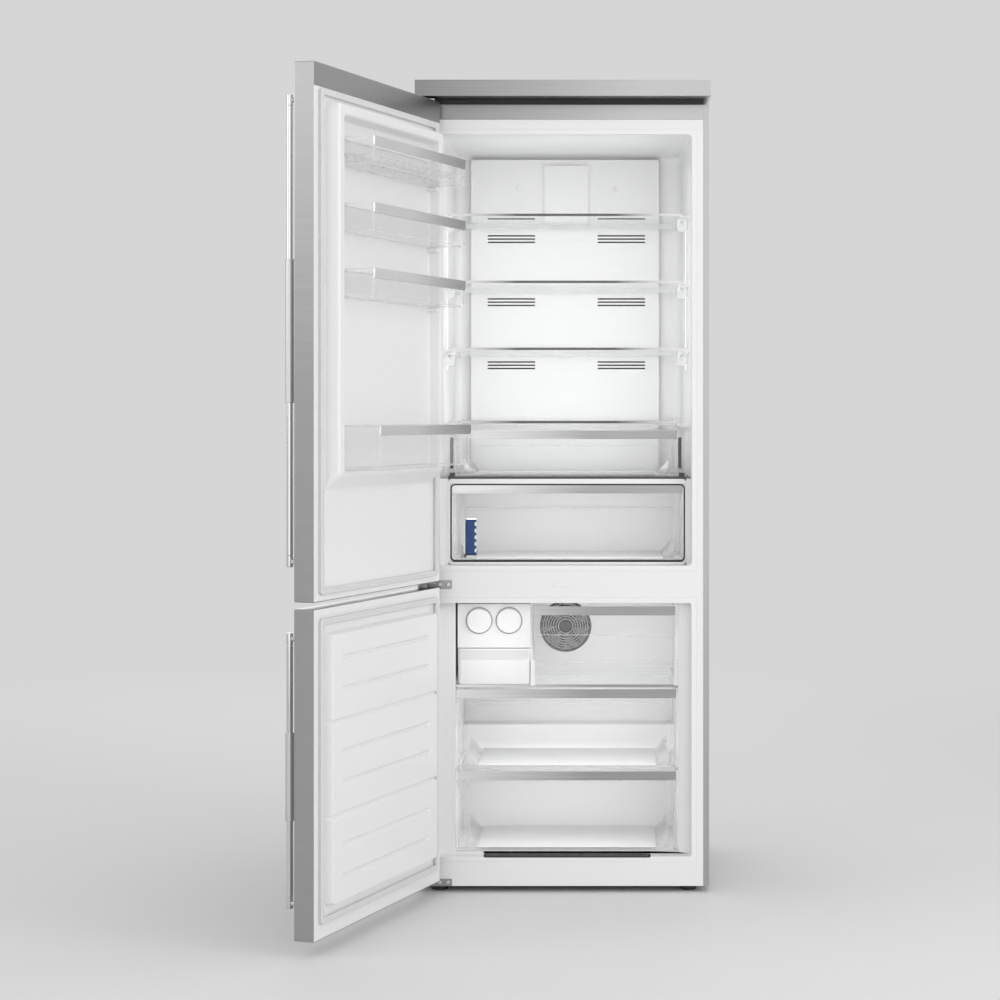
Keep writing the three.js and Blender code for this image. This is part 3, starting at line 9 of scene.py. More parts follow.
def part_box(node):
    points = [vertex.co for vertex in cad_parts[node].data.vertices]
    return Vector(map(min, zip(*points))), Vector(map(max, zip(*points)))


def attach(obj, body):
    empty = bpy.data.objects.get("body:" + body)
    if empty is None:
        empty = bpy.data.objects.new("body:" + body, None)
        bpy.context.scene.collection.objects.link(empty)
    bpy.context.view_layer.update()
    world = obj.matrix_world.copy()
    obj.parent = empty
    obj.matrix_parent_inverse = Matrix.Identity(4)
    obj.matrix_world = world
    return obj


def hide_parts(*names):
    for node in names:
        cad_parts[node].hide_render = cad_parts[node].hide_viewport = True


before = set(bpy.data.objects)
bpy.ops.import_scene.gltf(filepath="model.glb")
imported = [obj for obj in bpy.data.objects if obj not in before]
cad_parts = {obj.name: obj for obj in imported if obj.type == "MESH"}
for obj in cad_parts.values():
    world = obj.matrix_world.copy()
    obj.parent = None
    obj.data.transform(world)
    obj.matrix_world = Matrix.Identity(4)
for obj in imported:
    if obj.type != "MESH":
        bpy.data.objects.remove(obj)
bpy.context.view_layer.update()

# The camera stands in front of the open cabinet, a little above its middle, with a long lens.
# Its frame is shifted, so the lens looks straight back while the object fills the picture.
wrap_low, wrap_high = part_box("outer_wrap")


def at(x, y, z):
    """A place on the cabinet: millimetres from its middle, back from its front, up from the floor."""
    return Vector(((wrap_low.x + wrap_high.x) / 2 + x / 1000, wrap_low.y + y / 1000, z / 1000))


def add_object(name, data):
    """A new object in the scene, with its camera, lamp or mesh."""
    made = bpy.data.objects.new(name, data)
    bpy.context.scene.collection.objects.link(made)
    return made


camera_data = bpy.data.cameras.new("photograph")
camera_data.lens = 85
camera_data.sensor_width = 36
camera_data.shift_x = -0.102
camera_data.shift_y = -0.084
camera = add_object("photograph", camera_data)
camera.location = at(92.4, -5656, 1141)
camera.rotation_euler = (math.pi / 2, 0, 0)
bpy.context.scene.camera = camera


# The object stands on a wide pale floor that fades into an even pale background. A very wide
# soft box lights it from the front, and smaller ones from the sides, the top and the back. The
# fridge's lamps are lit, so flat lamps inside the compartments fill them with even light.
class Wire:
    """A socket that adds, subtracts and multiplies like a number."""

    def __init__(self, nodes, socket):
        self.nodes = nodes
        self.socket = socket

    def maths(self, operation, *values):
        return self.nodes.node("ShaderNodeMath", {"operation": operation}, dict(enumerate(values)))

    def __add__(self, other):
        return self.maths("ADD", self, other)

    def __sub__(self, other):
        return self.maths("SUBTRACT", self, other)

    def __mul__(self, other):
        return self.maths("MULTIPLY", self, other)

    def __abs__(self):
        return self.maths("ABSOLUTE", self)


class Nodes:
    """A tree of shader nodes; every node in it is made by one method."""

    def __init__(self, tree):
        self.tree = tree

    def node(self, kind, settings, sockets, output=0):
        made = self.tree.nodes.new(kind)
        for key, value in settings.items():
            setattr(made, key, value)
        for key, value in sockets.items():
            if isinstance(value, Wire):
                self.tree.links.new(value.socket, made.inputs[key])
            else:
                made.inputs[key].default_value = value
        return Wire(self, made.outputs[output])

    def ray(self, kind):
        """1 for rays of this kind and 0 for others."""
        return self.node("ShaderNodeLightPath", {}, {}, f"Is {kind} Ray")

    def spread(self, wire, low, high, first=0.0, last=1.0, **settings):
        """Runs from first to last while the wire runs from low to high."""
        return self.node("ShaderNodeMapRange", settings, {
            "Value": wire, "From Min": low, "From Max": high, "To Min": first, "To Max": last})


class Finish(Nodes):
    """A material: its plain colour and gloss, and what varies over the surface."""

    def __init__(self, name, color, roughness, metallic=0.0, wander=None, **constants):
        self.material = bpy.data.materials.new(name)
        self.material.use_nodes = True
        super().__init__(self.material.node_tree)
        self.shader = self.tree.nodes["Principled BSDF"]
        self.color = color
        constants |= {"Base_Color": (*color, 1.0), "Roughness": roughness, "Metallic": metallic}
        for socket, value in constants.items():
            self.shader.inputs[socket.replace("_", " ")].default_value = value
        if wander:
            scale, amount = wander
            self.tint(self.noise(scale), amount)

    def place(self, across=(1, 1, 1)):
        coordinates = self.node("ShaderNodeTexCoord", {}, {}, "Object")
        return self.node("ShaderNodeMapping", {}, {"Vector": coordinates, "Scale": across})

    def along(self, axis):
        return self.node("ShaderNodeSeparateXYZ", {}, {"Vector": self.place()}, axis)

    def noise(self, scale, detail=2.0, across=(1, 1, 1)):
        return self.node("ShaderNodeTexNoise", {}, {"Vector": self.place(across), "Scale": scale,
                                                    "Detail": detail})

    def mix(self, factor, first, second):
        return self.node("ShaderNodeMix", {"data_type": "RGBA"},
                         {0: factor, 6: (*first, 1.0), 7: (*second, 1.0)}, 2)

    def drive(self, socket, wire):
        self.tree.links.new(wire.socket, self.shader.inputs[socket])

    def tint(self, factor, amount):
        """Lets the colour wander a little darker and lighter."""
        shades = [tuple(min(1.0, c * (1 + sign * amount)) for c in self.color) for sign in (-1, 1)]
        self.drive("Base Color", self.mix(factor, *shades))

    def bump(self, height, strength, distance):
        self.drive("Normal", self.node("ShaderNodeBump", {}, {"Height": height, "Strength": strength,
                                                             "Distance": distance}))


BACKGROUND = 0.67
SKY_LIGHT = 0.5
FADE_START = 1.4
FADE_END = 5.6
FLOOR_EDGES = (-14.0, 14.0)
floor = Finish("floor_paint", (0.76, 0.76, 0.76), 0.9, wander=(1.5, 0.01))
from_object = floor.node("ShaderNodeVectorMath", {"operation": "LENGTH"}, {0: floor.place()}, "Value")
far = floor.spread(from_object, FADE_START, FADE_END, interpolation_type="SMOOTHSTEP")
glow = floor.node("ShaderNodeEmission", {}, {"Color": (BACKGROUND,) * 3 + (1.0,)})
surface = floor.node("ShaderNodeMixShader", {}, {
    0: far * (floor.ray("Camera") + floor.ray("Glossy")), 1: Wire(floor, floor.shader.outputs[0]),
    2: glow})
floor.tree.links.new(surface.socket, floor.tree.nodes["Material Output"].inputs["Surface"])
floor_mesh = bpy.data.meshes.new("floor")
floor_mesh.from_pydata([(x, y, 0.0) for y in FLOOR_EDGES for x in FLOOR_EDGES], [], [(0, 1, 3, 2)])
floor_mesh.materials.append(floor.material)
add_object("floor", floor_mesh)

AIM = Vector((0.0, 0.2, 0.95))
STRAIGHT_BACK = Vector((0.0, 1.0, 0.0))
for name, place, width, height, watts in (
    ("front_softbox", Vector((0.2, -5.3, 2.4)), 8.4, 5.2, 118),
    ("left_softbox", Vector((-4.2, -1.8, 2.4)), 2.4, 2.4, 34),
    ("right_softbox", Vector((4.2, -2.6, 2.2)), 2.6, 2.6, 66),
    ("top_softbox", Vector((0.6, 0.6, 4.6)), 2.6, 2.6, 32),
    ("rear_softbox", Vector((-0.8, 5.2, 2.4)), 4.4, 3.4, 58),
    ("fridge_fill", at(16, -14, 1430), 0.46, 0.6, 1.12),
    ("upper_drawer_fill", at(4, 132, 1052), 0.5, 0.085, 0.33),
    ("lower_drawer_fill", at(10, 64, 888), 0.5, 0.15, 0.53),
    ("freezer_fill", at(8, 62, 288), 0.5, 0.37, 0.82),
    ("flap_fill", at(100, 62, 585), 0.32, 0.16, 0.24),
    ("ice_fill", at(-168, -14, 590), 0.15, 0.17, 0.024),
):
    fills = name.endswith("fill")
    lamp_data = bpy.data.lights.new(name, "AREA")
    lamp_data.shape = "RECTANGLE"
    lamp_data.size = width
    lamp_data.size_y = height
    lamp_data.energy = watts
    lamp = add_object(name, lamp_data)
    lamp.location = place
    lamp.rotation_euler = (STRAIGHT_BACK if fills else AIM - place).to_track_quat("-Z", "Y").to_euler()
    lamp.visible_camera = False
    lamp.visible_glossy = not fills

world = bpy.data.worlds.new("studio")
world.use_nodes = True
sky = Nodes(world.node_tree)
shown = sky.ray("Camera") + sky.ray("Glossy") + sky.ray("Transmission")
sky_inputs = sky.tree.nodes["Background"].inputs
sky_inputs["Color"].default_value = (1.0, 1.0, 1.0, 1.0)
sky.tree.links.new(sky.spread(shown, 0, 1, SKY_LIGHT, BACKGROUND).socket, sky_inputs["Strength"])
bpy.context.scene.world = world
bpy.context.scene.view_settings.view_transform = "Standard"
bpy.context.scene.cycles.transparent_max_bounces = 64


# The cabinet's sides and top are one sheet of brushed steel with a narrow fold round the front.
# The grain runs level round the whole cabinet.
class Span(namedtuple("Span", "x0 x1 y0 y1 z0 z1")):
    """How far something reaches: millimetres on the cabinet, with the doors shut."""

    @property
    def middle(self):
        return (self.x0 + self.x1) / 2, (self.y0 + self.y1) / 2, (self.z0 + self.z1) / 2

    def shifted(self, **moves):
        """The same reach with some of its sides moved."""
        return self._replace(**{side: getattr(self, side) + move for side, move in moves.items()})


OPENED = math.radians(108.4)
SHARP_TURN = math.radians(28)
DOOR_PIECES = ("upper_door", "lower_door", "door_bin")
pivot = at(-329, -40.4, 0)
open_door = Matrix.Translation(pivot) @ Matrix.Rotation(-OPENED, 4, "Z") @ Matrix.Translation(-pivot)
to_row = Matrix.Translation(at(0, 0, 0)) @ Matrix.Scale(0.001, 4)


def drawn_place(name):
    """From millimetres on the cabinet, with the doors shut, to where a piece or body is now."""
    return open_door @ to_row if name.startswith(DOOR_PIECES) else to_row


def cad_copy(node):
    """A CAD node's points and faces in millimetres, merged into clean flat faces."""
    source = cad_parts[node]
    shape = bmesh.new()
    points = [shape.verts.new(source.matrix_world @ v.co) for v in source.data.vertices]
    for face in source.data.polygons:
        shape.faces.new([points[i] for i in face.vertices])
    shape.transform(drawn_place(node).inverted())
    bmesh.ops.remove_doubles(shape, verts=shape.verts, dist=0.02)
    bmesh.ops.dissolve_limit(shape, angle_limit=math.radians(0.5), verts=shape.verts,
                             edges=shape.edges)
    return shape


def ease(shape, width, segments=2):
    """Rounds every edge that turns sharply; what turns by less is part of a curve."""
    turning = [e for e in shape.edges if len(e.link_faces) == 2 and e.calc_face_angle() > SHARP_TURN]
    bmesh.ops.bevel(shape, geom=turning, offset=width, segments=segments, profile=0.5,
                    affect="EDGES", clamp_overlap=False)
    return shape


def span_of(node):
    """How far a CAD node reaches."""
    shape = cad_copy(node)
    reach = [pick(v.co[axis] for v in shape.verts) for axis in range(3) for pick in (min, max)]
    shape.free()
    return Span(*reach)


def settle(piece, modifier):
    """Makes what a modifier gives the piece's own mesh."""
    before = piece.data
    evaluated = piece.evaluated_get(bpy.context.evaluated_depsgraph_get())
    piece.data = bpy.data.meshes.new_from_object(evaluated)
    piece.modifiers.remove(modifier)
    bpy.data.meshes.remove(before)
    piece.data.name = piece.name


def assemble(name, shapes, finish, slot, *nodes, body="cabinet", sharp=50):
    """Joins shapes into one piece, in its place on its body, instead of the named nodes."""
    whole = bmesh.new()
    for shape in shapes:
        part = bpy.data.meshes.new(name)
        shape.to_mesh(part)
        shape.free()
        whole.from_mesh(part)
        bpy.data.meshes.remove(part)
    whole.transform(drawn_place(body))
    bmesh.ops.recalc_face_normals(whole, faces=whole.faces)
    mesh = bpy.data.meshes.new(name)
    whole.to_mesh(mesh)
    whole.free()
    mesh.shade_smooth()
    mesh.set_sharp_from_angle(angle=math.radians(sharp))
    mesh.materials.append(finish.material)
    piece = add_object(name, mesh)
    flatten = piece.modifiers.new("flat_faces_keep_their_normals", "WEIGHTED_NORMAL")
    flatten.keep_sharp = True
    settle(piece, flatten)
    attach(piece, body)
    if nodes:
        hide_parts(*nodes)


def eased(name, node, width, finish, slot, segments=2, body="cabinet"):
    """A CAD node drawn again as one piece, its edges rounded."""
    assemble(name, [ease(cad_copy(node), width, segments)], finish, slot, node, body=body)


def dress(finish, *nodes):
    """CAD nodes whose shape is right keep it and take a real finish."""
    for node in nodes:
        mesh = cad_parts[node].data
        mesh.materials.clear()
        mesh.materials.append(finish.material)


LEVEL_GRAIN = (6, 6, 420)
GRAIN_SHADE = 0.07
GRAIN_GLOSS = 0.16
GRAIN_BUMP = 0.2


def brushed(name, color, roughness, across=LEVEL_GRAIN, painted_sheen=None):
    """Metal with long fine scratches, so its pattern is stretched along the grain. A sheen painted
    into the colour names an axis, the two places between which it passes over, and the grey
    before and after them."""
    metal = Finish(name, color, roughness, 1.0)
    grain = metal.noise(1.0, 4.0, across)
    if painted_sheen:
        axis, start, end, first, second = painted_sheen
        # The base colour runs from the first grey to the second along the axis: a painted sheen.
        factor = metal.spread(metal.along(axis), start, end) + (grain - 0.5) * 0.5
        metal.drive("Base Color", metal.mix(factor, (first,) * 3, (second,) * 3))
    else:
        metal.tint(grain, GRAIN_SHADE)
    metal.drive("Roughness", grain * GRAIN_GLOSS + (roughness - GRAIN_GLOSS / 2))
    metal.bump(grain, GRAIN_BUMP, 0.0002)
    return metal


steel = brushed("brushed_steel", (0.40, 0.40, 0.40), 0.34)
eased("cabinet_wrap", "outer_wrap", 0.4, steel, "brushed_steel")

# The rear panel, the machine cover and the bottom tray are galvanised sheet, whose zinc has
# crystallised in flakes. Pan-head screws hold the two sheets at the back.
galvanised = Finish("galvanised_sheet", (0.50, 0.52, 0.53), 0.42, 0.85)
flakes = galvanised.node("ShaderNodeTexVoronoi", {}, {"Vector": galvanised.place(), "Scale": 70.0},
                         "Color")
flake = galvanised.node("ShaderNodeSeparateColor", {}, {"Color": flakes})
galvanised.tint(flake, 0.08)
galvanised.drive("Roughness", flake * 0.14 + 0.36)
dress(galvanised, "rear_panel", "machine_cover", "base_plate")


def rounded(u0, u1, v0, v1, radius, steps=4):
    """Points round a rectangle with round corners."""
    radius = min(max(radius, 0.01), (u1 - u0) / 2, (v1 - v0) / 2)
    corners = ((u1 - radius, v0 + radius), (u1 - radius, v1 - radius),
               (u0 + radius, v1 - radius), (u0 + radius, v0 + radius))
    return [(u + radius * math.cos(turn), v + radius * math.sin(turn))
            for side, (u, v) in enumerate(corners)
            for turn in (math.radians(90 * (side - 1) + 90 * k / steps) for k in range(steps + 1))]


def marks(start, end, gaps):
    """Even steps from start to end, both of them included."""
    return [start + (end - start) * k / gaps for k in range(gaps + 1)]


# An outline is drawn as seen from the front, from above or from the right, at a depth w.
def from_front(u, v, w):
    return u, w, v


def from_above(u, v, w):
    return u, v, w


def from_side(u, v, w):
    return w, u, v


def skin(rings, closed=False):
    """A surface over rings of points; it is capped at its ends unless it closes on itself."""
    shape = bmesh.new()
    rows = [[shape.verts.new(point) for point in ring] for ring in rings]
    pairs = list(zip(rows, rows[1:]))
    if closed:
        pairs.append((rows[-1], rows[0]))
    else:
        shape.faces.new(rows[0])
        shape.faces.new(rows[-1])
    for here, there in pairs:
        for i, point in enumerate(here):
            after = (i + 1) % len(here)
            shape.faces.new((point, here[after], there[after], there[i]))
    return shape


def loft(view, rings, closed=False):
    """A skin over outlines, each with its depth."""
    return skin([[view(u, v, w) for u, v in outline] for outline, w in rings], closed)


def turned(view, u, v, profile, steps=32, closed=False):
    """A round body about an axis through (u, v), from pairs of radius and depth."""
    turns = [math.tau * k / steps for k in range(steps)]
    return loft(view, [([(u + max(r, 0.01) * math.cos(a), v + max(r, 0.01) * math.sin(a))
                         for a in turns], w) for r, w in profile], closed)


def block(x0, x1, y0, y1, z0, z1, radius):
    """A small moulded block with soft edges."""
    shape = loft(from_front, [(rounded(x0, x1, z0, z1, 0), y0), (rounded(x0, x1, z0, z1, 0), y1)])
    bmesh.ops.remove_doubles(shape, verts=shape.verts, dist=0.05)
    return ease(shape, radius, 3)


copies = bpy.data.node_groups.new("copies_on_points", "GeometryNodeTree")
for socket, kind in (("Points", "Geometry"), ("Shape", "Object"), ("Turn", "Rotation"),
                     ("Finish", "Material")):
    copies.interface.new_socket(socket, in_out="INPUT", socket_type="NodeSocket" + kind)
copies.interface.new_socket("Copies", in_out="OUTPUT", socket_type="NodeSocketGeometry")
given, pattern_node, instances, realized, painted, result = [copies.nodes.new(kind) for kind in (
    "NodeGroupInput", "GeometryNodeObjectInfo", "GeometryNodeInstanceOnPoints",
    "GeometryNodeRealizeInstances", "GeometryNodeSetMaterial", "NodeGroupOutput")]
for source, output, target, entry in (
    (given, "Points", instances, "Points"), (given, "Shape", pattern_node, "Object"),
    (pattern_node, "Geometry", instances, "Instance"), (given, "Turn", instances, "Rotation"),
    (instances, "Instances", realized, "Geometry"), (realized, "Geometry", painted, "Geometry"),
    (given, "Finish", painted, "Material"), (painted, "Geometry", result, "Copies"),
):
    copies.links.new(source.outputs[output], target.inputs[entry])


def repeat(name, shape, points, finish, body="cabinet", turn=(0, 0, 0)):
    """The same small shape, drawn at the origin in millimetres, set on a number of points."""
    bmesh.ops.recalc_face_normals(shape, faces=shape.faces)
    shape.transform(Matrix.Scale(0.001, 4))
    small = bpy.data.meshes.new(name + "_shape")
    shape.to_mesh(small)
    shape.free()
    pattern = bpy.data.objects.new(name + "_shape", small)
    mesh = bpy.data.meshes.new(name)
    mesh.from_pydata([drawn_place(body) @ Vector(p) for p in points], [], [])
    piece = add_object(name, mesh)
    modifier = piece.modifiers.new("copies", "NODES")
    modifier.node_group = copies
    values = {"Shape": pattern, "Turn": turn, "Finish": finish.material}
    for item in copies.interface.items_tree:
        if item.name in values:
            modifier[item.identifier] = values[item.name]
    settle(piece, modifier)
    piece.data.shade_smooth()
    piece.data.set_sharp_from_angle(angle=math.radians(35))
    bpy.data.objects.remove(pattern)
    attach(piece, body)


def screw_head(radius, height):
    """A pan head with a round recess, lying on the XY plane."""
    profile = [(radius, -0.4), (radius, height * 0.35), (radius * 0.86, height * 0.8),
               (radius * 0.6, height), (radius * 0.5, height), (radius * 0.42, height * 0.45),
               (0, height * 0.4)]
    return turned(from_above, 0, 0, profile, 20)


TO_BACK = (-math.pi / 2, 0, 0)
SCREW_EDGE = 12
SCREW_GAPS = 6
zinc = Finish("zinc_screw", (0.60, 0.61, 0.62), 0.35, 1.0, wander=(900, 0.1))
rear = span_of("rear_panel")
cover = span_of("machine_cover")
screw_points = [(x, rear.y1, z) for x in (rear.x0 + SCREW_EDGE, rear.x1 - SCREW_EDGE)
                for z in marks(rear.z0 + SCREW_EDGE, rear.z1 - SCREW_EDGE, SCREW_GAPS)]
screw_points += [(x, rear.y1, z) for x in (cover.x0 + SCREW_EDGE, cover.x1 - SCREW_EDGE)
                 for z in (cover.z0 + SCREW_EDGE, cover.z1 - SCREW_EDGE)]
repeat("rear_screws", screw_head(radius=4.4, height=2.4), screw_points, zinc,
       turn=TO_BACK)

# Each louvre of the machine cover has a hood that the press raised over its slot.
LOUVRE_ROWS = 8
LOUVRE_X = (-216, -42, 132)
LOUVRE_WIDTH = 120
HOOD_REACH = 3.6
HOOD_HEIGHT = 9
HOOD_SHEET = 0.9
louvre_pitch = (cover.z1 - cover.z0) / (LOUVRE_ROWS + 2)
hood_section = [(HOOD_REACH * math.sin(a), 6 - HOOD_HEIGHT * (1 - math.cos(a)))
                for a in (math.radians(14 * step) for step in range(7))]
hood_section += [(max(u - HOOD_SHEET, 0), v - 0.6) for u, v in reversed(hood_section)]
hood = loft(from_side, [(hood_section, -LOUVRE_WIDTH / 2), (hood_section, LOUVRE_WIDTH / 2)])
hood_points = [(x, cover.y1, cover.z0 + louvre_pitch * (row + 1.5))
               for x in LOUVRE_X for row in range(LOUVRE_ROWS)]
repeat("louvre_hoods", hood, hood_points, galvanised)

# The mains inlet is a black moulding with three flat pins; its lead is unplugged.
black = Finish("black_moulding", (0.022, 0.023, 0.025), 0.5, wander=(40, 0.15))
black.bump(black.noise(1400), 0.15, 0.0002)
PIN = Span(-1, 1, -21, -6, -2.2, 2.2)
PIN_POINT = 1.5
inlet = span_of("power_inlet")
eased("mains_inlet", "power_inlet", 0.8, black, "black_moulding")
pins = []
for dx, dz in ((-9, -2.5), (0, 2.5), (9, -2.5)):
    x, z = inlet.middle[0] + dx, inlet.middle[2] + dz
    blade = rounded(x + PIN.x0, x + PIN.x1, z + PIN.z0, z + PIN.z1, 0.5)
    tip = rounded(x + PIN.x0 / 2, x + PIN.x1 / 2, z + PIN.z0 * 0.7, z + PIN.z1 * 0.7, 0.3)
    pins.append(loft(from_front, [(blade, inlet.y1 + PIN.y0), (blade, inlet.y1 + PIN.y1),
                                  (tip, inlet.y1 + PIN.y1 + PIN_POINT)]))
assemble("inlet_pins", pins, zinc, "galvanised_sheet")

# Two levelling feet with a grip rim stand under the front, and two rollers under the back. All
# four are black mouldings.
SIDES = ("left", "right")
GRIPS = 24
STUD_RADIUS = 5
AXLE_RADIUS = 3


def grip_ring(foot, radius, notch):
    """A circle whose edge steps in and out."""
    ring = []
    for k in range(4 * GRIPS):
        r = radius - notch * (k // 2 % 2)
        turn = math.tau * k / (4 * GRIPS)
        ring.append((foot.middle[0] + r * math.cos(turn), foot.middle[1] + r * math.sin(turn)))
    return ring


for side in SIDES:
    foot = span_of(f"front_foot_{side}")
    r = (foot.x1 - foot.x0) / 2
    foot_rings = [(grip_ring(foot, radius, notch), z) for radius, notch, z in (
        (r - 2.5, 0, 0), (r - 0.6, 0, 1), (r, 1.1, 2.4), (r, 1.1, 6.8), (r - 1, 0.4, 8), (8, 0, 8.6),
        (STUD_RADIUS, 0, 8.8), (STUD_RADIUS, 0, foot.z1))]
    assemble(f"levelling_foot_{side}", [loft(from_above, foot_rings)], black, "black_moulding",
             f"front_foot_{side}", body=f"front_foot_{side}")
    wheel = span_of(f"rear_roller_{side}")
    wheel_x, wheel_y, wheel_z = wheel.middle
    radius = (wheel.z1 - wheel.z0) / 2
    half = [(AXLE_RADIUS, (wheel.x1 - wheel.x0) / 2), (AXLE_RADIUS, 6.4), (radius - 4.5, 6.4),
            (radius - 3.6, 8), (radius - 1.5, 8), (radius, 6.4), (radius, 1.2), (radius - 0.8, 0.5)]
    wheel_profile = [(r, wheel_x - x) for r, x in half] + [(r, wheel_x + x) for r, x in reversed(half)]
    assemble(f"roller_{side}", [turned(from_side, wheel_y, wheel_z, wheel_profile, 40)], black,
             "black_moulding", f"rear_roller_{side}", body=f"rear_roller_{side}")

# The front is a white pressed frame round both compartments, with an oval pad on the bar
# between them. Above it runs a strip of brushed steel, and a hollow steel lid covers the top.
# The steel of both is painted dark at the left and light at the right, a painted reflection. In
# the gap under the lid lies a black strip: partly dark plastic, partly painted shade.
white = Finish("white_moulding", (0.84, 0.84, 0.84), 0.42, wander=(3.0, 0.012))
white.bump(white.noise(900), 0.05, 0.0002)
eased("front_frame_face", "front_frame", 0.7, white, "white_moulding")
LID_STRIP = Span(-336, 336, 8, 12.4, 1886.4, 1898.8)
# The lid's steel is painted dark at the left and light at the right: a painted reflection.
lid_steel = brushed("lid_steel", (0.42, 0.42, 0.42), 0.34,
                    painted_sheen=(0, at(-340, 0, 0).x, at(200, 0, 0).x, 0.195, 0.41))
eased("header_face", "header_strip", 0.5, lid_steel, "brushed_steel")
eased("lid", "top_panel", 1.2, lid_steel, "brushed_steel", 3)
# A black strip in the gap under the lid paints the shade there.
assemble("lid_seal_strip", [block(*LID_STRIP, 0.6)], black, "black_moulding")

# The fridge liner is formed from one white sheet: a flange, a soft lip, walls that lean in
# towards the back, and a wide curve round the back wall. Rails along both walls carry the shelves.
liner_white = Finish("white_liner", (0.85, 0.85, 0.85), 0.3, wander=(2.2, 0.012))
FLANGE = 13
SHEET = 2.5
DRAFT = 8.5
MOUTH_RADIUS = 11
BACK_CURVE = 22
fridge = span_of("fridge_liner")


def upright(box, inset, corner, steps=4, rise=0.0):
    """A box's outline seen from the front, drawn in by an inset, its lower side raised."""
    return rounded(box.x0 + inset, box.x1 - inset, box.z0 + rise + inset, box.z1 - inset, corner,
                   steps)


def inside_fridge(inset, lean=0.0):
    """The opening's outline, drawn in by an inset, with the side walls leaning in further."""
    opening = fridge.shifted(x0=FLANGE + lean, x1=-FLANGE - lean, z0=FLANGE, z1=-FLANGE)
    return upright(opening, inset, MOUTH_RADIUS + inset, 6)


back_y = fridge.y1 - SHEET
liner_rings = [(inside_fridge(-SHEET, DRAFT), fridge.y1), (inside_fridge(-SHEET), SHEET),
               (upright(fridge, 0, 2, 6), SHEET), (upright(fridge, 0, 2, 6), 0.7),
               (upright(fridge, 0.7, 2, 6), 0), (inside_fridge(-3), 0), (inside_fridge(-1), 0.8),
               (inside_fridge(0), 3)]
for turn in (math.radians(15 * step) for step in range(7)):
    y = back_y - BACK_CURVE * (1 - math.sin(turn))
    liner_rings.append((inside_fridge(BACK_CURVE * (1 - math.cos(turn)), DRAFT * y / back_y), y))
shelf_spans = {name: span_of(name) for name in ("crisper_cover", "shelf_low", "shelf_middle",
                                                "shelf_top")}
leds = {side: span_of(f"led_strip_{side}") for side in SIDES}
GLASS = 4
RAIL_HEIGHT = 9
RAIL_HOLD = 6
RAIL_START = 20
rails = []
for shelf in shelf_spans.values():
    z1 = shelf.z1 - GLASS
    for side, x0, x1 in (("left", fridge.x0 + FLANGE - 1, shelf.x0 + RAIL_HOLD),
                         ("right", shelf.x1 - RAIL_HOLD, fridge.x1 - FLANGE + 1)):
        stretches = [(shelf.y0 + RAIL_START, back_y)]
        if leds[side].z0 < z1 < leds[side].z1 + RAIL_HEIGHT:
            stretches = [(shelf.y0 + RAIL_START, leds[side].y0 - 1), (leds[side].y1 + 1, back_y)]
        rails += [block(x0, x1, y0, y1, z1 - RAIL_HEIGHT, z1, 1.6) for y0, y1 in stretches]
assemble("fridge_inside", [loft(from_front, liner_rings), *rails], liner_white, "white_liner",
         "fridge_liner")

# The freezer liner steps in behind the door to three compartments. In the step under the lowest
# drawer a grey comb stands before a black block that paints the shade inside the vent.
eased("freezer_inside", "freezer_liner", 1.1, liner_white, "white_liner")
VENT = Span(-191, 209, -0.6, 12, 83.4, 90.6)
VENT_TEETH = 58
VENT_END = 8.36
vent_edge = upright(VENT, 0, (VENT.z1 - VENT.z0) / 2)
# The vent's black block is painted shade behind the comb.
vent_shade = Finish("dark_recess", (0.03, 0.031, 0.033), 0.8, wander=(30, 0.2))
comb_grey = Finish("comb_grey", (0.14, 0.14, 0.142), 0.6, wander=(200, 0.2))
assemble("floor_grille", [loft(from_front, [(vent_edge, VENT.y0), (vent_edge, VENT.y1)])], vent_shade,
         "black_moulding")
teeth = [(x, VENT.y0, VENT.z1 - 1.4)
         for x in marks(VENT.x0 + VENT_END, VENT.x1 - VENT_END, VENT_TEETH - 1)]
repeat("floor_grille_teeth", block(-1.3, 1.3, -1, 1, -2.2, 1.2, 0.3), teeth, comb_grey)

# The air duct covers the middle of the back wall, with slots beside each shelf, a raised
# square cover at the top and two moulded screw caps. A dark sheet behind the slots paints the
# shade inside the duct.
DUCT_SKIN = 4
COVER_PROUD = 6
BACKING_EDGE = 8
duct = span_of("duct_panel")
dress(white, "duct_panel")
# The backing's dark grey is painted shade, seen through the slots.
duct_shade = Finish("duct_inside", (0.11, 0.112, 0.115), 0.9)
duct_shade.bump(duct_shade.noise(500), 0.3, 0.0005)
duct_face = duct.y0 + COVER_PROUD
backing_y = duct_face + DUCT_SKIN + 1.5
backing = block(duct.x0 + BACKING_EDGE, duct.x1 - BACKING_EDGE, backing_y, backing_y + 3.5,
                duct.z0 + BACKING_EDGE, duct.z1 - BACKING_EDGE, 0.5)
assemble("duct_backing", [backing], duct_shade, "insulating_foam")
SQUARE = Span(-54.6, 54.6, duct.y0 - 0.8, duct_face + 1, 1639.4, 1786.6)
assemble("square_cover", [block(*SQUARE, 2.6)], white, "white_moulding")
CAP_POINTS = [(-123.7, duct_face, 1731), (125.5, duct_face, 1729)]
cap_profile = [(7, 0.4), (7, -0.5), (6.2, -1.0), (4.4, -1.1), (3.6, -0.3), (2.4, 0.1), (0, 0.1)]
repeat("duct_screw_caps", turned(from_front, 0, 0, cap_profile, 24), CAP_POINTS, white)

# A light strip with a milky lens lies on each side wall. It is lit, so the lens glows a little.
lens = Finish("light_lens", (0.88, 0.89, 0.9), 0.25, wander=(60, 0.02), Emission_Strength=0.12)
lens.shader.inputs["Emission Color"].default_value = (0.95, 0.97, 1.0, 1.0)
for side in SIDES:
    eased(f"light_strip_{side}", f"led_strip_{side}", 1.4, lens, "led_lens", 3)
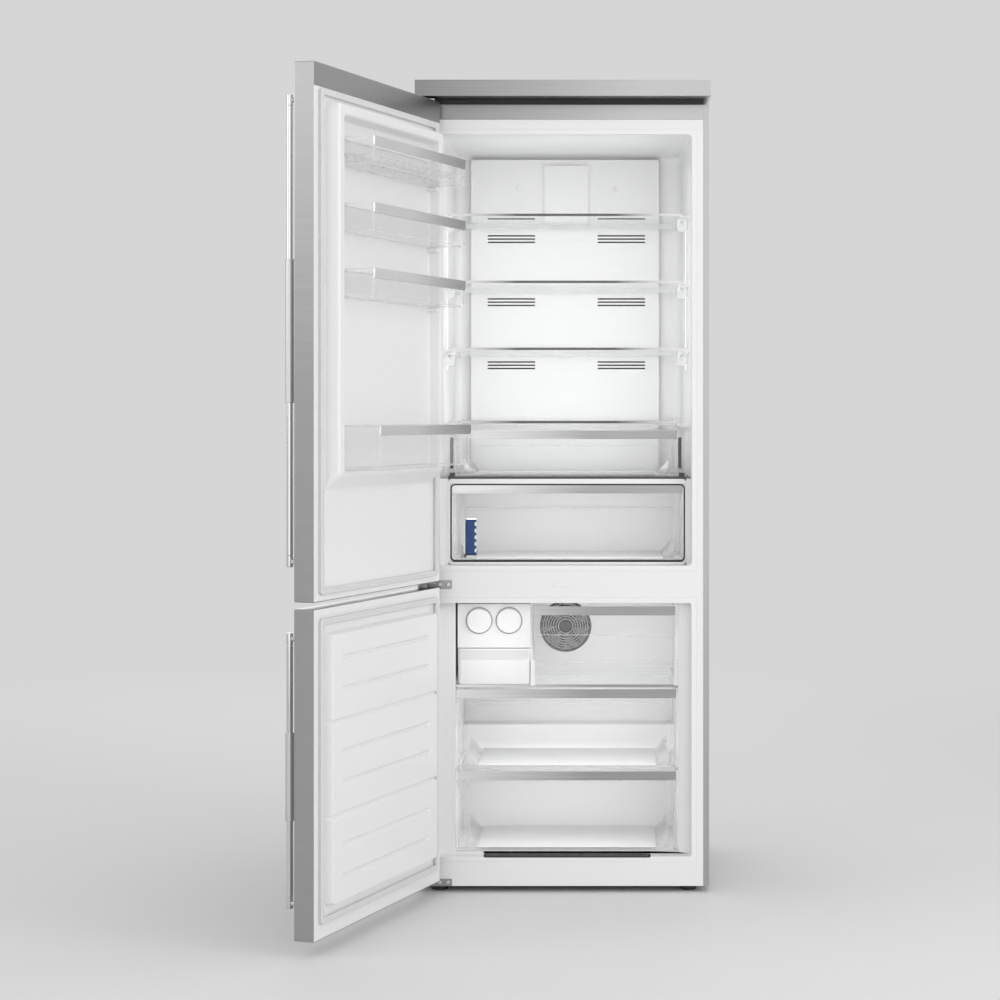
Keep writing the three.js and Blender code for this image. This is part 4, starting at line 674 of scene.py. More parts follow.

# Each shelf is clear glass in a milky rear rail, with a polished trim along its front that is
# painted darkest in the middle and light at its ends, a painted reflection. Clear moulded
# supports on pins stand under its front corners.
glass = Finish("clear_glass", (0.82, 0.90, 0.88), 0.04, wander=(5, 0.02), Alpha=0.09, IOR=1.5)
pale_clear = Finish("milky_plastic", (0.82, 0.83, 0.84), 0.25, wander=(30, 0.02), Alpha=0.4)
trim_polished = Finish("shelf_trim", (0.55, 0.56, 0.57), 0.3)
# The trim's dark middle and light ends are a painted reflection.
REFLECTION_DARK_HALF = 0.12
REFLECTION_BRIGHT_FROM = 0.27
from_middle = trim_polished.along(0) - at(shelf_spans["shelf_top"].middle[0], 0, 0).x
reflection_share = trim_polished.spread(abs(from_middle), REFLECTION_DARK_HALF, REFLECTION_BRIGHT_FROM)
trim_polished.drive("Base Color", trim_polished.mix(reflection_share, (0.06, 0.06, 0.06), (0.60, 0.60, 0.60)))
trim_polished.drive("Roughness", trim_polished.noise(1.0, 3.0, LEVEL_GRAIN) * 0.15 + 0.18)
TRIM_HEIGHT = 3.8
TRIM_DEPTH = 8
REAR_RAIL_END = 14
REAR_RAIL_DEPTH = 10
for name, shelf in shelf_spans.items():
    body = "cabinet" if name == "crisper_cover" else name
    pane = block(shelf.x0 + 1, shelf.x1 - 1, shelf.y0 + 3, shelf.y1, shelf.z1 - GLASS,
                 shelf.z1 - 0.4, 0.7)
    trim = block(shelf.x0, shelf.x1, shelf.y0, shelf.y0 + TRIM_DEPTH, shelf.z1 - TRIM_HEIGHT,
                 shelf.z1, 1.2)
    rear_rail = block(shelf.x0 + REAR_RAIL_END, shelf.x1 - REAR_RAIL_END,
                      shelf.y1 - REAR_RAIL_DEPTH, shelf.y1, shelf.z1 - 9, shelf.z1 + 2, 1.5)
    assemble(f"{name}_glass", [pane], glass, "shelf_glass", name, body=body)
    assemble(f"{name}_trim", [trim], trim_polished, "shelf_glass", body=body)
    assemble(f"{name}_rear_rail", [rear_rail], pale_clear, "shelf_glass", body=body)


def stack(view, outline, levels, closed=False):
    """A skin over one outline, drawn in by an inset at each depth."""
    return loft(view, [(outline(inset), w) for inset, w in levels], closed)


SUPPORT = Span(-12, 12, 0, 7, -34, 0)
support = stack(from_front, lambda inset: upright(SUPPORT, inset, 10 - inset),
                ((1, SUPPORT.y0), (0, SUPPORT.y0 + 1), (0, SUPPORT.y1)))
support_points = [(x, shelf.y0 + 10, shelf.z1 - GLASS - 5) for name, shelf in shelf_spans.items()
                  if name != "crisper_cover" for x in (shelf.x0 + 2, shelf.x1 - 2)]
repeat("shelf_supports", support, support_points, pale_clear)
pin_profile = [(3.4, 0.5), (3.4, -0.8), (2.6, -1.4), (1.6, -1.4), (1.2, 0.2), (0, 0.2)]
repeat("shelf_support_pins", turned(from_front, 0, 0, pin_profile, 20),
       [(x, y, z - 10) for x, y, z in support_points], zinc)

# The lower drawer slides in a white moulded housing; a black ring runs round its front.
HOUSING_RADIUS = 12
BLACK_RING_WIDTH = 3.2
BLACK_RING_DEPTH = 6
BLACK_RING_FLOOR = 1.6
housing = span_of("crisper_housing")
lower = span_of("lower_crisper")
fillers = [block(x0, x1, housing.y0 + 1, housing.y0 + 18, housing.z0 + 0.6, housing.z1 - 0.3, 0.7)
           for x0, x1 in ((fridge.x0 + FLANGE - 0.5, housing.x0 + 0.6),
                          (housing.x1 - 0.6, fridge.x1 - FLANGE + 0.5))]
assemble("drawer_housing", [ease(cad_copy("crisper_housing"), 1.2), *fillers], white,
         "white_moulding", "crisper_housing")
black_ring = Finish("black_seal", (0.02, 0.02, 0.022), 0.6)
black_ring.bump(black_ring.noise(700), 0.2, 0.0003)
black_ring_box = lower.shifted(x0=-2.2, x1=2.2, z0=-0.1, z1=2.2)
black_ring_y = housing.y0 + 1.5
black_ring_outlines = [(upright(black_ring_box, inset, HOUSING_RADIUS - inset, 6, rise), y) for inset, rise, y in (
    (0, 0, black_ring_y), (0, 0, black_ring_y + BLACK_RING_DEPTH), (BLACK_RING_WIDTH, BLACK_RING_FLOOR, black_ring_y + BLACK_RING_DEPTH),
    (BLACK_RING_WIDTH, BLACK_RING_FLOOR, black_ring_y))]
assemble("drawer_seal", [loft(from_front, black_ring_outlines, closed=True)], black_ring, "black_moulding",
         body="lower_crisper")

# A dark glass plate lies on the housing and carries the upper drawer.
smoked = Finish("smoked_glass", (0.045, 0.048, 0.05), 0.08, wander=(8, 0.1), IOR=1.5)
eased("smoked_plate", "crisper_divider", 1.4, smoked, "dark_glass", 3)

# Drawers are clear moulded polystyrene: a front panel with soft corners, a box behind it that
# narrows at a ledge, a turned rim, and a brushed metal trim along the top, painted light at the
# left and dark towards the right as a painted reflection. On the floor a frosted plate lies
# between two rows of grey gussets, whose grey paints the shade in the floor's corners. Dark
# guides stand beside the upper drawer.
clear = Finish("clear_polystyrene", (0.88, 0.885, 0.89), 0.12, wander=(6, 0.015), Alpha=0.075)
clear.drive("Roughness", clear.noise(25) * 0.08 + 0.08)
clear_front = Finish("clear_panel", (0.88, 0.885, 0.89), 0.08, wander=(4, 0.01), Alpha=0.02)
clear_thick = Finish("clear_rim", (0.80, 0.805, 0.81), 0.14, wander=(12, 0.02), Alpha=0.3)
floor_white = Finish("frosted_floor", (0.88, 0.88, 0.88), 0.3, wander=(10, 0.012), Alpha=0.75)
# The gussets' grey paints the shade in the corners of a drawer's floor.
corner_shade = Finish("frosted_corner", (0.50, 0.50, 0.505), 0.3, wander=(60, 0.05), Alpha=0.14)
# The brushed trim is painted light at the left and dark towards the right: a painted reflection.
trim_metal = brushed("brushed_trim", (0.46, 0.46, 0.465), 0.36,
                     painted_sheen=(0, at(-255, 0, 0).x, at(70, 0, 0).x, 0.70, 0.32))
LEDGE_SHARE = 0.36
TRIM = 20
TRIM_THICK = 4
PANEL_THICK = 3
BESIDE = 9
BOX_WALL = 2.6
BOX_CORNER = 12
GUSSET_WIDE = 30
GUSSET_HIGH = 38
GUSSET_PITCH = 26


def plan_outline(box, inset, corner):
    """A box's outline seen from above, drawn in by an inset."""
    return rounded(box.x0 + inset, box.x1 - inset, box.y0 + inset, box.y1 - inset,
                   max(corner - inset, 1), 4)


def tub(box, wall, corner, draft, ledge, floor):
    """An open box whose walls lean in, with a step at the ledge; rings from outside to inside."""
    narrow = draft + ledge
    z_ledge = box.z1 - LEDGE_SHARE * (box.z1 - box.z0)
    return stack(from_above, lambda inset: plan_outline(box, inset, corner), (
        (narrow + 5, box.z0), (narrow + 1.4, box.z0 + 1.4), (narrow, box.z0 + 5),
        (ledge, z_ledge - 4), (0.4, z_ledge), (0, box.z1),
        (wall, box.z1), (wall + 0.4, z_ledge + wall), (ledge + wall, z_ledge + wall - 4),
        (narrow + wall, box.z0 + floor + 4), (narrow + wall + 1.2, box.z0 + floor + 1.2),
        (narrow + wall + 4, box.z0 + floor)))


def rim(box, width, height, corner):
    """The turned edge along the top of a box."""
    levels = [(0, -height), (0, -0.8), (0.8, 0), (width - 0.8, 0), (width, -0.8), (width, -height)]
    return stack(from_above, lambda inset: plan_outline(box, inset, corner),
                 [(inset, box.z1 + dz) for inset, dz in levels], closed=True)


def cut_front(shape, y):
    """Takes off what lies in front of y and closes the cut."""
    bmesh.ops.bisect_plane(shape, geom=shape.verts[:] + shape.edges[:] + shape.faces[:],
                           clear_inner=True, plane_co=(0, y, 0), plane_no=(0, 1, 0))
    bmesh.ops.holes_fill(shape, edges=shape.edges)
    return shape


def drawer(name, node, corner):
    box = span_of(node)
    face = box.y0 + TRIM_THICK
    body_box = box.shifted(x0=BESIDE, x1=-BESIDE, y0=TRIM_THICK + PANEL_THICK, z0=1, z1=-4)
    walls = tub(body_box, BOX_WALL, BOX_CORNER, draft=5, ledge=3, floor=3)
    assemble(f"{name}_box", [cut_front(walls, body_box.y0 + BOX_CORNER)], clear, "clear_plastic",
             node, body=node)

    # The edges where the moulding is thickest look whiter than its walls.
    panel = box.shifted(x0=0.6, x1=-0.6, y0=TRIM_THICK - 2.5, z0=0.6, z1=-1)
    foot = block(panel.x0 + corner, panel.x1 - corner, face - 1, face + PANEL_THICK + 4,
                 box.z0 + 1, box.z0 + 7, 1.5)
    bands = [block(x0, x0 + 5, face - 1, face + 5, box.z0 + corner, box.z1 - TRIM - 2, 1)
             for x0 in (panel.x0 + 1.5, panel.x1 - 6.5)]
    z_ledge = body_box.z1 - LEDGE_SHARE * (body_box.z1 - body_box.z0)
    ledge = block(body_box.x0 + 6, body_box.x1 - 6, body_box.y1 - 7, body_box.y1 - 4, z_ledge - 2,
                  z_ledge + 0.6, 0.5)
    edge = rim(box.shifted(x0=1, x1=-1, y0=TRIM_THICK), width=10, height=4, corner=10)
    assemble(f"{name}_rim", [edge, foot, ledge, *bands], clear_thick, "clear_plastic", body=node)
    front = stack(from_front, lambda inset: upright(panel, inset, corner, 5),
                  ((0.8, panel.y0), (0, panel.y0 + 0.8), (0, panel.y0 + PANEL_THICK)))
    assemble(f"{name}_front", [front], clear_front, "clear_plastic", body=node)
    strip = block(box.x0 + 3, box.x1 - 3, box.y0, box.y0 + 3, box.z1 - TRIM, box.z1 - 0.6, 0.8)
    assemble(f"{name}_trim", [strip], trim_metal, "clear_plastic", body=node)

    # A frosted plate and grey gussets lie on the drawer's floor; the gussets' grey is painted shade.
    inside = body_box.shifted(x0=11, x1=-11)
    plate = block(inside.x0 + GUSSET_WIDE, inside.x1 - GUSSET_WIDE, inside.y0 + 11,
                  inside.y1 - 12, inside.z0 + 3.1, inside.z0 + 4.3, 0.4)
    assemble(f"{name}_floor", [plate], floor_white, "clear_plastic", body=node)
    count = int((inside.y1 - inside.y0 - 24) / GUSSET_PITCH)
    for side, x, wide in (("left", inside.x0, GUSSET_WIDE), ("right", inside.x1, -GUSSET_WIDE)):
        triangle = [(0, 0), (wide, 0), (0, GUSSET_HIGH)]
        points = [(x, inside.y0 + 16 + GUSSET_PITCH * k, inside.z0 + 3.2) for k in range(count)]
        repeat(f"{name}_gussets_{side}", loft(from_front, [(triangle, -1), (triangle, 1)]), points,
               corner_shade, node)


drawer("upper_drawer", "upper_crisper", 5)
GUIDE_WIDE = 6
GUIDE_END = 18
STOP_WIDE = 12
upper = span_of("upper_crisper")
guides = [block(x, x + GUIDE_WIDE, upper.y0 + 2, upper.y0 + 14, upper.z0 + GUIDE_END,
                upper.z1 - GUIDE_END, 1) for x in (upper.x0 - 8, upper.x1 + 1.5)]
guides += [block(x, x + STOP_WIDE, upper.y0 - 2, upper.y0 + 6, upper.z0 - 0.4, upper.z0 + 6, 1)
           for x in (upper.x0 - 9, upper.x1 + 3)]
assemble("upper_drawer_guides", guides, smoked, "black_moulding")
drawer("lower_drawer", "lower_crisper", 10)
drawer("freezer_drawer_middle", "middle_drawer", 4)
drawer("freezer_drawer_bottom", "bottom_drawer", 4)

# A blue cartridge that keeps food fresh is clipped in a pale holder in the lower drawer.
CARTRIDGE = Span(-236, -214, 58, 72, 806, 888)
HOLDER_SIDE = Span(-241, -236.6, 58, 72, 800, 892)
HOLDER_FOOT = Span(-241, -211, 58, 75, 798, 805)
HOLDER_BACK = Span(-241, -213, 72.4, 75, 800, 892)
HOLDER_CLIP = Span(-215, -211.6, 57, 62, 812, 819)
CLIPS = 5
CLIP_PITCH = 16
cartridge_blue = Finish("blue_cartridge", (0.002, 0.045, 0.18), 0.5, wander=(90, 0.2),
                        Specular_IOR_Level=0.2)
assemble("cartridge", [block(*CARTRIDGE, 2.5)], cartridge_blue, "pale_moulding",
         body="lower_crisper")
holder = [block(*HOLDER_SIDE, 1), block(*HOLDER_FOOT, 1), block(*HOLDER_BACK, 0.8)]
holder += [block(*HOLDER_CLIP.shifted(z0=CLIP_PITCH * k, z1=CLIP_PITCH * k), 0.8)
           for k in range(CLIPS)]
assemble("cartridge_holder", holder, white, "pale_moulding", body="lower_crisper")

# The ice maker is a white box hung from the freezer's ceiling. Each of its two round knobs
# twists a tray, and a grey ring in the gap round each knob paints the shade in that gap.
ice_white = Finish("ice_maker_white", (0.87, 0.87, 0.87), 0.35, wander=(4, 0.01))
ice_white.bump(ice_white.noise(1200), 0.05, 0.0002)
# The rings' grey is painted shade in the gap round each knob.
knob_gap_shade = Finish("knob_gap", (0.26, 0.26, 0.265), 0.6, wander=(50, 0.1))
eased("ice_maker", "ice_maker_housing", 1.2, ice_white, "white_moulding", 3)
KNOB_RADIUS = 30
KNOB_BACK = 39
KNOB_EDGE = ((29.2, 3), (28.6, 2.1), (27, 1.8), (0, 1.8))
BAR_HALF = 24
BAR_HALF_HEIGHT = 4.4
face = span_of("ice_maker_housing").y0
for side in SIDES:
    knob = span_of(f"ice_twister_{side}")
    x, _, z = knob.middle
    disc = turned(from_front, x, z, [(0, KNOB_BACK), (KNOB_EDGE[0][0], KNOB_BACK),
                                     *((r, knob.y0 + y) for r, y in KNOB_EDGE)], 48)
    bar = block(x - BAR_HALF, x + BAR_HALF, knob.y0, knob.y0 + 3, z - BAR_HALF_HEIGHT,
                z + BAR_HALF_HEIGHT, 1.3)
    tray = cut_front(cad_copy(f"ice_twister_{side}"), KNOB_BACK)
    assemble(f"ice_knob_{side}", [tray, disc, bar], ice_white, "pale_moulding",
             f"ice_twister_{side}", body=f"ice_twister_{side}")
    ring = turned(from_front, x, z, [
        (KNOB_RADIUS + 0.5, face), (KNOB_RADIUS + 2.3, face), (KNOB_RADIUS + 2.1, face - 1.2),
        (KNOB_RADIUS + 0.7, face - 1.2)], 48, closed=True)
    assemble(f"knob_ring_{side}", [ring], knob_gap_shade, "pale_moulding")

# The ice falls into a white moulded bin with a raised lip round the finger hold on its front.
# The lip is painted a darker grey than the bin: painted shade round the finger hold.
finger_hold_shade = Finish("ice_box_lip", (0.74, 0.74, 0.74), 0.4, wander=(6, 0.01))
LIP_HEIGHT = 27
ice_box = span_of("ice_bin")
ice_levels = [(4, ice_box.z0), (1, ice_box.z0 + 3), (0, ice_box.z1 - 1), (0.8, ice_box.z1),
              (2.4, ice_box.z1), (3, ice_box.z1 - 1), (4, ice_box.z0 + 6), (7, ice_box.z0 + 3)]
assemble("ice_box", [stack(from_above, lambda inset: plan_outline(ice_box, inset, 9), ice_levels)],
         ice_white, "white_moulding", "ice_bin", body="ice_bin")
lip = ice_box._replace(z0=ice_box.z1 - LIP_HEIGHT).shifted(x0=5, x1=-5, z1=-4)
lip_shape = stack(from_front, lambda inset: upright(lip, inset, 8 - inset),
                  ((0, lip.y0 + 1), (0, lip.y0 - 0.5), (2, lip.y0 - 0.2)))
assemble("ice_box_lip", [lip_shape], finger_hold_shade, "white_moulding", body="ice_bin")

# A glass shelf lies under the ice maker, with a slim steel-coloured edge. The clear flap beside
# the ice maker drops forward on pins that two white end pieces hold. The edge and the flap's
# trim take the brushed trim's painted reflection.
POST = Span(0, 8, -1, 26, 4.4, 62)
shelf = span_of("freezer_shelf")
flap = span_of("freezer_flap")
eased("freezer_shelf_glass", "freezer_shelf", 0.5, glass, "shelf_glass")
shelf_edge = block(shelf.x0, shelf.x1, shelf.y0 - 0.6, shelf.y0 + 5, shelf.z0 - 1,
                   shelf.z0 + 4.6, 0.8)
assemble("freezer_shelf_edge", [shelf_edge], trim_metal, "shelf_glass")
posts = [block(x0, x0 + POST.x1, shelf.y0 + POST.y0, shelf.y0 + POST.y1, shelf.z0 + POST.z0,
               shelf.z0 + POST.z1, 1.5) for x0 in (flap.x0 - 3.4, flap.x1 - 3.4)]
assemble("flap_posts", posts, ice_white, "white_moulding")
eased("flap_panel", "freezer_flap", 0.8, clear, "clear_plastic", body="freezer_flap")
flap_lines = [block(flap.x0 + 5, flap.x1 - 5, flap.y0 + 1.2, flap.y0 + 3, z, z + 1.6, 0.4)
              for z in (flap.z1 - 69, flap.z0 + 52)]
assemble("flap_ribs", flap_lines, clear_thick, "clear_plastic", body="freezer_flap")
flap_strip = block(flap.x0 + 3.6, flap.x1 - 3.6, flap.y0 - 1, flap.y0 + 2, flap.z1 - TRIM,
                   flap.z1 + 0.2, 0.8)
assemble("flap_trim", [flap_strip], trim_metal, "clear_plastic", body="freezer_flap")

# The evaporator cover is a white panel with a round mouth. A grille of light rings and dark
# curved arms, two mouldings, lies in the mouth over the fan.
fan_light = Finish("fan_rings", (0.66, 0.66, 0.665), 0.4, wander=(60, 0.05))
fan_grey = Finish("fan_arms", (0.05, 0.05, 0.052), 0.45, wander=(60, 0.15))
FAN_X = -1.7
FAN_Z = 597.5
FAN_RADIUS = 65
GRILLE_RINGS = 8
GRILLE_ARMS = 6
GRILLE_HUB = 13
ARM_WIDTH = 2.4
ARM_STEPS = 10
RING_SECTION = ((-0.9, 3), (-1.1, 0), (-0.5, -0.9), (0.5, -0.9), (1.1, 0), (0.9, 3))
panel = span_of("evaporator_cover")
mouth = rounded(FAN_X - FAN_RADIUS, FAN_X + FAN_RADIUS, FAN_Z - FAN_RADIUS, FAN_Z + FAN_RADIUS,
                FAN_RADIUS, 13)
panel_edge = upright(panel, 0, 1, 13)
assemble("evaporator_panel", [loft(from_front, [(panel_edge, panel.y1), (panel_edge, panel.y0),
                                                (mouth, panel.y0), (mouth, panel.y1)], closed=True)],
         white, "white_moulding", "evaporator_cover")


def fan_ring(radius, section):
    """A ring round the fan's axis, from pairs of distance from its radius and depth."""
    return turned(from_front, FAN_X, FAN_Z, [(radius + r, panel.y0 + y) for r, y in section], 56,
                  closed=True)


ring_pitch = (FAN_RADIUS - GRILLE_HUB) / GRILLE_RINGS
fan_rings = [fan_ring(GRILLE_HUB + index * ring_pitch - 0.9, RING_SECTION)
             for index in range(1, GRILLE_RINGS)]
fan_arms = [fan_ring(FAN_RADIUS, ((-3, 3), (-3, -0.6), (1.5, -0.6), (1.5, 0.2))),
            turned(from_front, FAN_X, FAN_Z, [(GRILLE_HUB - 1, panel.y0 - 1.6),
                                              (GRILLE_HUB, panel.y0 - 0.6),
                                              (GRILLE_HUB, panel.y0 + 3)])]
for arm in range(GRILLE_ARMS):
    rings = []
    for step in range(ARM_STEPS):
        r = GRILLE_HUB - 2 + (FAN_RADIUS - GRILLE_HUB) * step / (ARM_STEPS - 1)
        turn = math.tau * arm / GRILLE_ARMS + step / ARM_STEPS
        x, z = FAN_X + r * math.cos(turn), FAN_Z + r * math.sin(turn)
        dx, dz = ARM_WIDTH / 2 * math.cos(turn + 2.2), ARM_WIDTH / 2 * math.sin(turn + 2.2)
        rings.append([(x - dx, panel.y0 + 0.4, z - dz), (x + dx, panel.y0 + 0.4, z + dz),
                      (x + dx, panel.y0 + 2.8, z + dz), (x - dx, panel.y0 + 2.8, z - dz)])
    fan_arms.append(skin(rings))
assemble("fan_grille_rings", fan_rings, fan_light, "black_moulding")
assemble("fan_grille_arms", fan_arms, fan_grey, "black_moulding")
dress(black, "fan_impeller", "fan_motor")

# What the cabinet hides: foam between the walls, the finned evaporator, and under the back the
# black compressor, its drip pan and the wire condenser.
foam = Finish("insulating_foam", (0.78, 0.70, 0.42), 0.9)
foam.tint(foam.noise(40, 6.0), 0.12)
foam.bump(foam.noise(300, 4.0), 0.5, 0.001)
dress(foam, "insulation_core", "upper_door_core", "lower_door_core")
dress(Finish("fin_aluminium", (0.70, 0.71, 0.72), 0.35, 1.0, wander=(30, 0.08)), "evaporator")
enamel = Finish("black_enamel", (0.012, 0.012, 0.013), 0.28)
enamel.drive("Roughness", enamel.noise(35) * 0.2 + 0.2)
dress(enamel, "compressor", "condenser")
dress(black, "drip_pan")

# Zinc-plated steel hinges reach forward from the cabinet at the top, between the doors and at
# the bottom. Screws hold the tabs of the lower two.
hinge_steel = Finish("hinge_steel", (0.33, 0.33, 0.335), 0.38, 0.95, wander=(120, 0.08))
hinge_steel.drive("Roughness", hinge_steel.noise(60) * 0.15 + 0.3)
for level in ("top", "middle", "bottom"):
    eased(f"{level}_hinge_plate", f"{level}_hinge", 0.8, hinge_steel, "hinge_steel")
TO_FRONT = (math.pi / 2, 0, 0)
HINGE_FRONT = -3
TAB_SCREWS = (9, 29)
tab_ends = ((span_of("middle_hinge").x1, 737), (span_of("bottom_hinge").x1, 24))
tab_points = [(x1 - inward, HINGE_FRONT, z) for x1, z in tab_ends for inward in TAB_SCREWS]
repeat("hinge_screws", screw_head(radius=5, height=2.6), tab_points, zinc,
       turn=TO_FRONT)

# Each door is a folded pan of brushed steel, round at its outer edges. The upper one has a band
# turned in over the top of its inner face.
DOOR_ROUND = 2.6
DOOR_BAND = 50
SHEEN_LOW = 1.2
SHEEN_HIGH = 1.85


def door_skin(pan):
    turns = [math.radians(22.5 * step) for step in range(5)]
    levels = [(DOOR_ROUND * (1 - math.sin(a)), pan.y0 + DOOR_ROUND * (1 - math.cos(a))) for a in turns]
    levels += [(0, pan.y1 - 0.3), (0.3, pan.y1), (0.9, pan.y1), (1, pan.y1 - 0.3), (1, pan.y0 + 3),
               (3, pan.y0 + 1)]
    return stack(from_front, lambda inset: upright(pan, inset, max(DOOR_ROUND - inset, 0.3)), levels)


# The door steel is painted lighter towards the top: a painted sheen.
door_steel = brushed("door_steel", (0.45, 0.45, 0.45), 0.34,
                     painted_sheen=(2, SHEEN_LOW, SHEEN_HIGH, 0.37, 0.53))
pan = span_of("upper_door_skin")
band = block(pan.x0 + 0.4, pan.x1 - 0.4, pan.y1 - 1, pan.y1 - 0.02, pan.z1 - DOOR_BAND,
             pan.z1 - 0.4, 0.3)
assemble("upper_door_band", [band], steel, "brushed_steel", body="upper_door")
for name in ("upper_door", "lower_door"):
    assemble(f"{name}_pan", [door_skin(span_of(f"{name}_skin"))], door_steel, "brushed_steel",
             f"{name}_skin", body=name)

# The fridge door's liner rises in a broad soft rim that the bins hang inside, on moulded pegs;
# below it lies a shallow raised panel.
PEG = 10
RIM = Span(-293, 295, -10, 25, 985, 1808)
CREST_LOW = 1012
POCKET = Span(-267, 265, -5, 25, 1022, 1782)
LOW_PANEL = Span(-291, 293, -10, -7.6, 770, 978)


def rim_ring(inset, y):
    """The rim's outline at a depth; its lower side slopes up with the rim's height."""
    rise = (CREST_LOW - RIM.z0) * (y - RIM.y0) / (RIM.y1 - RIM.y0)
    return upright(RIM, inset, 14, 6, rise), y


liner = span_of("upper_door_liner")
door_face = [(upright(liner, inset, 3, 6), y)
             for inset, y in ((0, liner.y0), (0, RIM.y0 - 0.6), (0.6, RIM.y0))]
door_face += [rim_ring(-5, RIM.y0), rim_ring(-1.5, RIM.y0 + 1), rim_ring(0, RIM.y0 + 4.5),
              rim_ring(1.5, RIM.y1 - 6), rim_ring(2.6, RIM.y1 - 2.8), rim_ring(4.6, RIM.y1 - 0.8),
              rim_ring(7.5, RIM.y1)]
door_face += [(upright(POCKET, inset, 12, 6), y) for inset, y in (
    (-6, POCKET.y1), (-3, POCKET.y1 - 0.8), (-1.2, POCKET.y1 - 2.6), (0, POCKET.y1 - 6),
    (1.5, POCKET.y0 + 6), (2.6, POCKET.y0 + 2.6), (4.6, POCKET.y0 + 0.8), (8, POCKET.y0))]
low_panel = stack(from_front, lambda inset: upright(LOW_PANEL, inset, 10, 6), (
    (-1, LOW_PANEL.y0 - 0.5), (0, LOW_PANEL.y0 + 1.2), (1, LOW_PANEL.y1 - 0.4), (2.6, LOW_PANEL.y1)))
bin_spans = {name: span_of(name) for name in ("door_bin_top", "door_bin_second", "door_bin_third",
                                              "door_bin_bottle")}
pegs = [block(x0, x1, POCKET.y0 - 1, POCKET.y1 - 5, box.z0 - 0.3 - PEG, box.z0 - 0.3, 2)
        for box in bin_spans.values()
        for x0, x1 in ((POCKET.x0 - 1, box.x0 + 6), (box.x1 - 6, POCKET.x1 + 1))]
assemble("upper_door_inside", [loft(from_front, door_face), low_panel, *pegs], liner_white,
         "white_liner", "upper_door_liner", body="upper_door")

# The freezer door's liner is a raised panel with eight ribs pressed into it; the third and the
# sixth run right across.
RIB_PANEL = Span(-293, 295, -10, 8, 97.6, 680.6)
RIBS = 8
LONG_RIBS = (2, 5)
RIB_PITCH = 67
RIB_HALF = 6.5
RIB_DEPTH = 6.5
RIB_RUN = 6
RIB_MARGIN = 50
WALL_RUN = 5
WALL_MIDDLE = 4
NET_REACH = 8


def net_lines(start, end, edges, step, coarse):
    """Lines from start to end, close together within reach of each edge."""
    fine = round(NET_REACH / step)
    lines = [start, end, *(edge + step * k for edge in edges for k in range(-fine, fine + 1))]
    lines += [line for line in marks(start, end, round((end - start) / coarse))[1:-1]
              if all(abs(line - edge) > NET_REACH + step for edge in edges)]
    return sorted({round(line, 2) for line in lines if start <= line <= end})


def depth_inside(u, v, u0, u1, v0, v1, radius):
    """How far a point lies inside a rectangle with round corners; negative outside."""
    du = abs(u - (u0 + u1) / 2) - (u1 - u0) / 2
    dv = abs(v - (v0 + v1) / 2) - (v1 - v0) / 2
    if du > -radius and dv > -radius:
        return radius - math.hypot(du + radius, dv + radius)
    return -max(du, dv)


def soft_step(depth, run):
    share = min(max(depth / run, 0), 1)
    return share * share * (3 - 2 * share)


def pressed_sheet(view, us, vs, face, back):
    """A closed sheet over a net of lines, with one height on its face and one on its back."""
    shape = bmesh.new()
    layers = [[[shape.verts.new(view(u, v, height(u, v))) for u in us] for v in vs]
              for height in (face, back)]
    for layer in layers:
        for low_row, high_row in zip(layer, layer[1:]):
            for i in range(len(us) - 1):
                shape.faces.new((low_row[i], low_row[i + 1], high_row[i + 1], high_row[i]))
    loops = [[*layer[0], *(row[-1] for row in layer[1:]), *reversed(layer[-1][:-1]),
              *(row[0] for row in reversed(layer[1:-1]))] for layer in layers]
    for i in range(len(loops[0])):
        after = (i + 1) % len(loops[0])
        shape.faces.new((loops[0][i], loops[0][after], loops[1][after], loops[1][i]))
    return shape


lower_liner = span_of("lower_door_liner")._replace(z1=span_of("lower_door_core").z1)
first_rib = (RIB_PANEL.z0 + RIB_PANEL.z1) / 2 + RIB_PITCH * (RIBS - 1) / 2
rib_places = [(first_rib - index * RIB_PITCH, -RIB_HALF if index in LONG_RIBS else RIB_MARGIN)
              for index in range(RIBS)]


def ribbed_height(u, v):
    panel_depth = depth_inside(u, v, RIB_PANEL.x0, RIB_PANEL.x1, RIB_PANEL.z0, RIB_PANEL.z1, 14)
    height = (RIB_PANEL.y1 - RIB_PANEL.y0) * soft_step(panel_depth, WALL_RUN)
    for z, margin in rib_places:
        if abs(v - z) < RIB_HALF:
            rib_depth = depth_inside(u, v, RIB_PANEL.x0 + margin, RIB_PANEL.x1 - margin,
                                     z - RIB_HALF, z + RIB_HALF, RIB_HALF)
            height -= RIB_DEPTH * soft_step(rib_depth, RIB_RUN) * min(height / RIB_RUN, 1)
    return RIB_PANEL.y0 + height


walls_x = [RIB_PANEL.x0 + WALL_MIDDLE, RIB_PANEL.x1 - WALL_MIDDLE]
walls_z = [RIB_PANEL.z0 + WALL_MIDDLE, RIB_PANEL.z1 - WALL_MIDDLE]
net_u = net_lines(lower_liner.x0, lower_liner.x1,
                  [*walls_x, walls_x[0] + RIB_MARGIN, walls_x[1] - RIB_MARGIN], 1.3, 40)
net_v = net_lines(lower_liner.z0, lower_liner.z1, [*walls_z, *(z for z, _ in rib_places)], 1, 30)
ribbed = pressed_sheet(from_front, net_u, net_v, ribbed_height, lambda u, v: lower_liner.y0)
assemble("lower_door_inside", [ribbed], liner_white, "white_liner", "lower_door_liner",
         body="lower_door")

